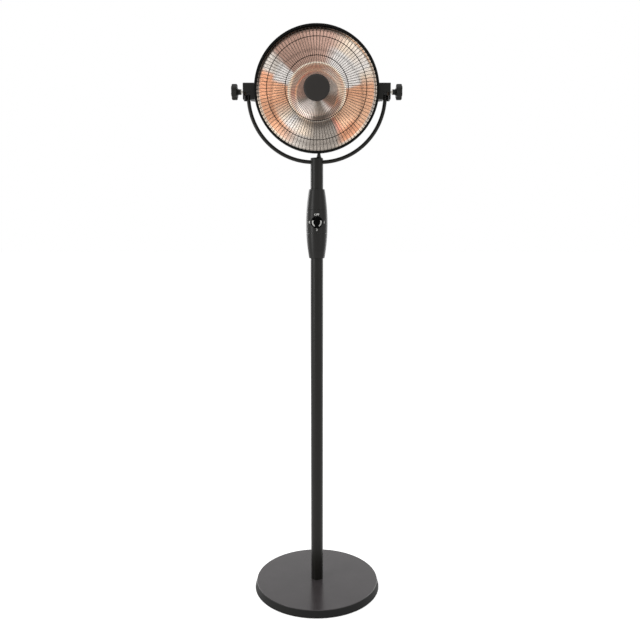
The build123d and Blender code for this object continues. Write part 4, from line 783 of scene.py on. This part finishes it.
for finish, names in FINISHES.items():
    for node_name in names:
        dress(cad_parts[node_name], finish)
dress(lead, SILICONE)
dressed = sum(len(names) for names in FINISHES.values())
print("dressed", dressed, "of", len(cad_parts), "nodes, and the lead stands for one")

# %% [markdown]
# ## Marks round the dial
#
# The housing has small pale marks round the dial, pad printed: a word at the top and a number at each
# quarter turn. The ink is a plain pale grey that covers a little unevenly.


# %% Printing ink
def printing_ink(name, hex_colour, thin_hex):
    """Pad printing ink, slightly uneven in cover."""
    material, tree = new_material(name)
    place = add(tree, "TexCoord")
    cover = add(tree, "TexNoise", {"Vector": (place, "Object"), "Scale": 1 / (1.5 * MM), "Detail": 3.0})
    amount = add(tree, "MapRange", {"Value": (cover, "Fac"), "From Min": 0.4, "From Max": 0.8, "To Max": 0.4})
    colour = add(tree, "Mix", {0: (amount, 0), MIX_A: linear(hex_colour), MIX_B: linear(thin_hex)},
                 data_type="RGBA")
    shader = add(tree, "BsdfPrincipled", {"Base Color": (colour, MIXED), "Roughness": 0.5, "IOR": 1.5})
    add(tree, "OutputMaterial", {"Surface": (shader, 0)})
    return material


INK = printing_ink("pale_grey_pad_printing_ink", "#e8e8e4", "#8a8a86")
print("ink", INK.name)

# %% [markdown]
# The marks could be a mask in the housing's material, but letters stay sharp close up as a mesh. They come
# from Blender's own font, turned to flat meshes and then laid on the barrel's surface, a twentieth of a
# millimetre proud, as ink would be.

# %% Dial marks
BARREL_CENTRE = 1219 * MM
BARREL_RADIUS = 33.9 * MM
BARREL_HALF = 108 * MM
BARREL_SWELL = 9.3 * MM
INK_HEIGHT = 0.05 * MM
MARK_CIRCLE = 23.5 * MM
FONT_FOR_HEIGHT = 1.4
STROKE_SPREAD = 0.25 * MM
# Text, degrees counter-clockwise from the right, and height in mm.
MARKS = [("OFF", 90, 6.4), ("1", 0, 6.8), ("2", -90, 6.8), ("3", 180, 6.8)]


def barrel_radius(height):
    """The housing's radius at a height, from its one long arc."""
    arc = (BARREL_HALF ** 2 + BARREL_SWELL ** 2) / (2 * BARREL_SWELL)
    return BARREL_RADIUS - arc + math.sqrt(arc ** 2 - (height - BARREL_CENTRE) ** 2)


def printed_mark(text, degrees, size_mm, material):
    """A word or number printed on the barrel, at an angle round the dial."""
    letters = bpy.data.curves.new("letters", "FONT")
    letters.body = text
    letters.size = size_mm * MM * FONT_FOR_HEIGHT
    letters.align_x = "CENTER"
    letters.align_y = "CENTER"
    letters.offset = STROKE_SPREAD
    data = mesh_of(letters)
    turn = math.radians(degrees)
    middle_x, middle_z = MARK_CIRCLE * math.cos(turn), DIAL_HEIGHT + MARK_CIRCLE * math.sin(turn)
    for vertex in data.vertices:
        x, z = middle_x + vertex.co.x, middle_z + vertex.co.y
        radius = barrel_radius(z) + INK_HEIGHT
        vertex.co = (x, -math.sqrt(radius ** 2 - x ** 2), z)
    piece = new_object("dial_mark_" + text.lower(), data)
    dress(piece, material)
    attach(piece, "stand")
    return piece


for text, degrees, size_mm in MARKS:
    mark = printed_mark(text, degrees, size_mm, INK)
    print(mark.name, len(mark.data.polygons), "faces")

# %% [markdown]
# ## Floor and sky
#
# The heater stands on plain white. A floor lit up to white would take so much light that the heater turned
# pale, so the floor is white by its colour and adds a little light of its own, to the camera and in
# reflections only. That keeps the horizon out of sight but leaves the soft shadow at the base. The sky is
# white to the camera and to reflections, and dimmer as a lamp.

# %% Floor and sky
FLOOR_HALF = 30.0
FLOOR_LIFT = 0.60
SKY_AS_LAMP = 0.50
SKY_AS_SEEN = 1.0


def white_floor():
    """A large white floor that keeps the shadow."""
    mesh = bmesh.new()
    bmesh.ops.create_grid(mesh, x_segments=2, y_segments=2, size=FLOOR_HALF)
    data = bpy.data.meshes.new("floor")
    mesh.to_mesh(data)
    mesh.free()
    floor = new_object("floor", data)
    material, tree = new_material("white_studio_floor")
    rays = add(tree, "LightPath")
    seen = add(tree, "Math", {0: (rays, "Is Camera Ray"), 1: (rays, "Is Glossy Ray")}, operation="MAXIMUM")
    glow = add(tree, "Math", {0: (seen, 0), 1: FLOOR_LIFT}, operation="MULTIPLY")
    lit = add(tree, "BsdfDiffuse", {"Color": linear("#f2f2f1")})
    shine = add(tree, "Emission", {"Color": linear("#ffffff"), "Strength": (glow, 0)})
    both = add(tree, "AddShader", {0: (lit, 0), 1: (shine, 0)})
    add(tree, "OutputMaterial", {"Surface": (both, 0)})
    dress(floor, material)


def white_sky():
    """A world that is white where it is seen and dimmer where it lights."""
    world = bpy.data.worlds.new("studio")
    bpy.context.scene.world = world
    world.use_nodes = True
    tree = world.node_tree
    tree.nodes.clear()
    rays = add(tree, "LightPath")
    seen = add(tree, "Math", {0: (rays, "Is Camera Ray"), 1: (rays, "Is Glossy Ray")}, operation="MAXIMUM")
    seen = add(tree, "Math", {0: (seen, 0), 1: (rays, "Is Transmission Ray")}, operation="MAXIMUM")
    strength = add(tree, "MapRange", {"Value": (seen, 0), "To Min": SKY_AS_LAMP, "To Max": SKY_AS_SEEN})
    sky = add(tree, "Background", {"Color": linear("#ffffff"), "Strength": (strength, 0)})
    add(tree, "OutputWorld", {"Surface": (sky, 0)})


white_floor()
white_sky()
print("floor", 2 * FLOOR_HALF, "m wide, sky", SKY_AS_LAMP, "as a lamp and", SKY_AS_SEEN, "as it is seen")

# %% [markdown]
# ## Lamps
#
# Two tall soft boxes in front draw the long highlights on the pole, the stronger one at the left. Two behind
# light the sides of the pole and the head, and a wide one overhead lights the base's top. The one at the
# front left would burn a white patch into the dish's edge, so a flag stands between them, as in a studio:
# here that is light linking, which keeps the lamp off the reflector and nothing else.

# %% Lamps
# Name: place, the point that it looks at, width and height, all in metres, and watts.
LAMPS = {
    "key_left": ((-2.7, -1.8, 1.5), (0, 0, 0.95), (0.9, 2.4), 34),
    "fill_right": ((2.4, -2.2, 1.5), (0, 0, 0.95), (1.0, 2.2), 5),
    "back_left": ((-2.4, 2.6, 1.9), (0, 0, 1.3), (1.2, 2.0), 34),
    "back_right": ((2.2, 2.4, 1.2), (0, 0, 1.0), (0.8, 2.2), 16),
    "top": ((0, -0.5, 3.4), (0, 0, 0.5), (3.0, 3.0), 20),
}


def soft_box(name, place, aim, size, watts):
    """A rectangular area lamp that points at a place."""
    lamp = bpy.data.lights.new(name, "AREA")
    lamp.shape = "RECTANGLE"
    lamp.size, lamp.size_y = size
    lamp.energy = watts
    box = new_object(name, lamp)
    box.location = place
    box.rotation_euler = (Vector(aim) - Vector(place)).to_track_quat("-Z", "Y").to_euler()
    return box


def flag_off(lamp_box, pieces):
    """Keeps a lamp off some pieces, as a black card beside the lamp would."""
    flagged = bpy.data.collections.new("flagged_from_" + lamp_box.name)
    for piece in pieces:
        flagged.objects.link(piece)
    for entry in flagged.collection_objects:
        entry.light_linking.link_state = "EXCLUDE"
    lamp_box.light_linking.receiver_collection = flagged


soft_boxes = {name: soft_box(name, *values) for name, values in LAMPS.items()}
flag_off(soft_boxes["key_left"], [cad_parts["reflector"]])
print("soft boxes", list(soft_boxes))
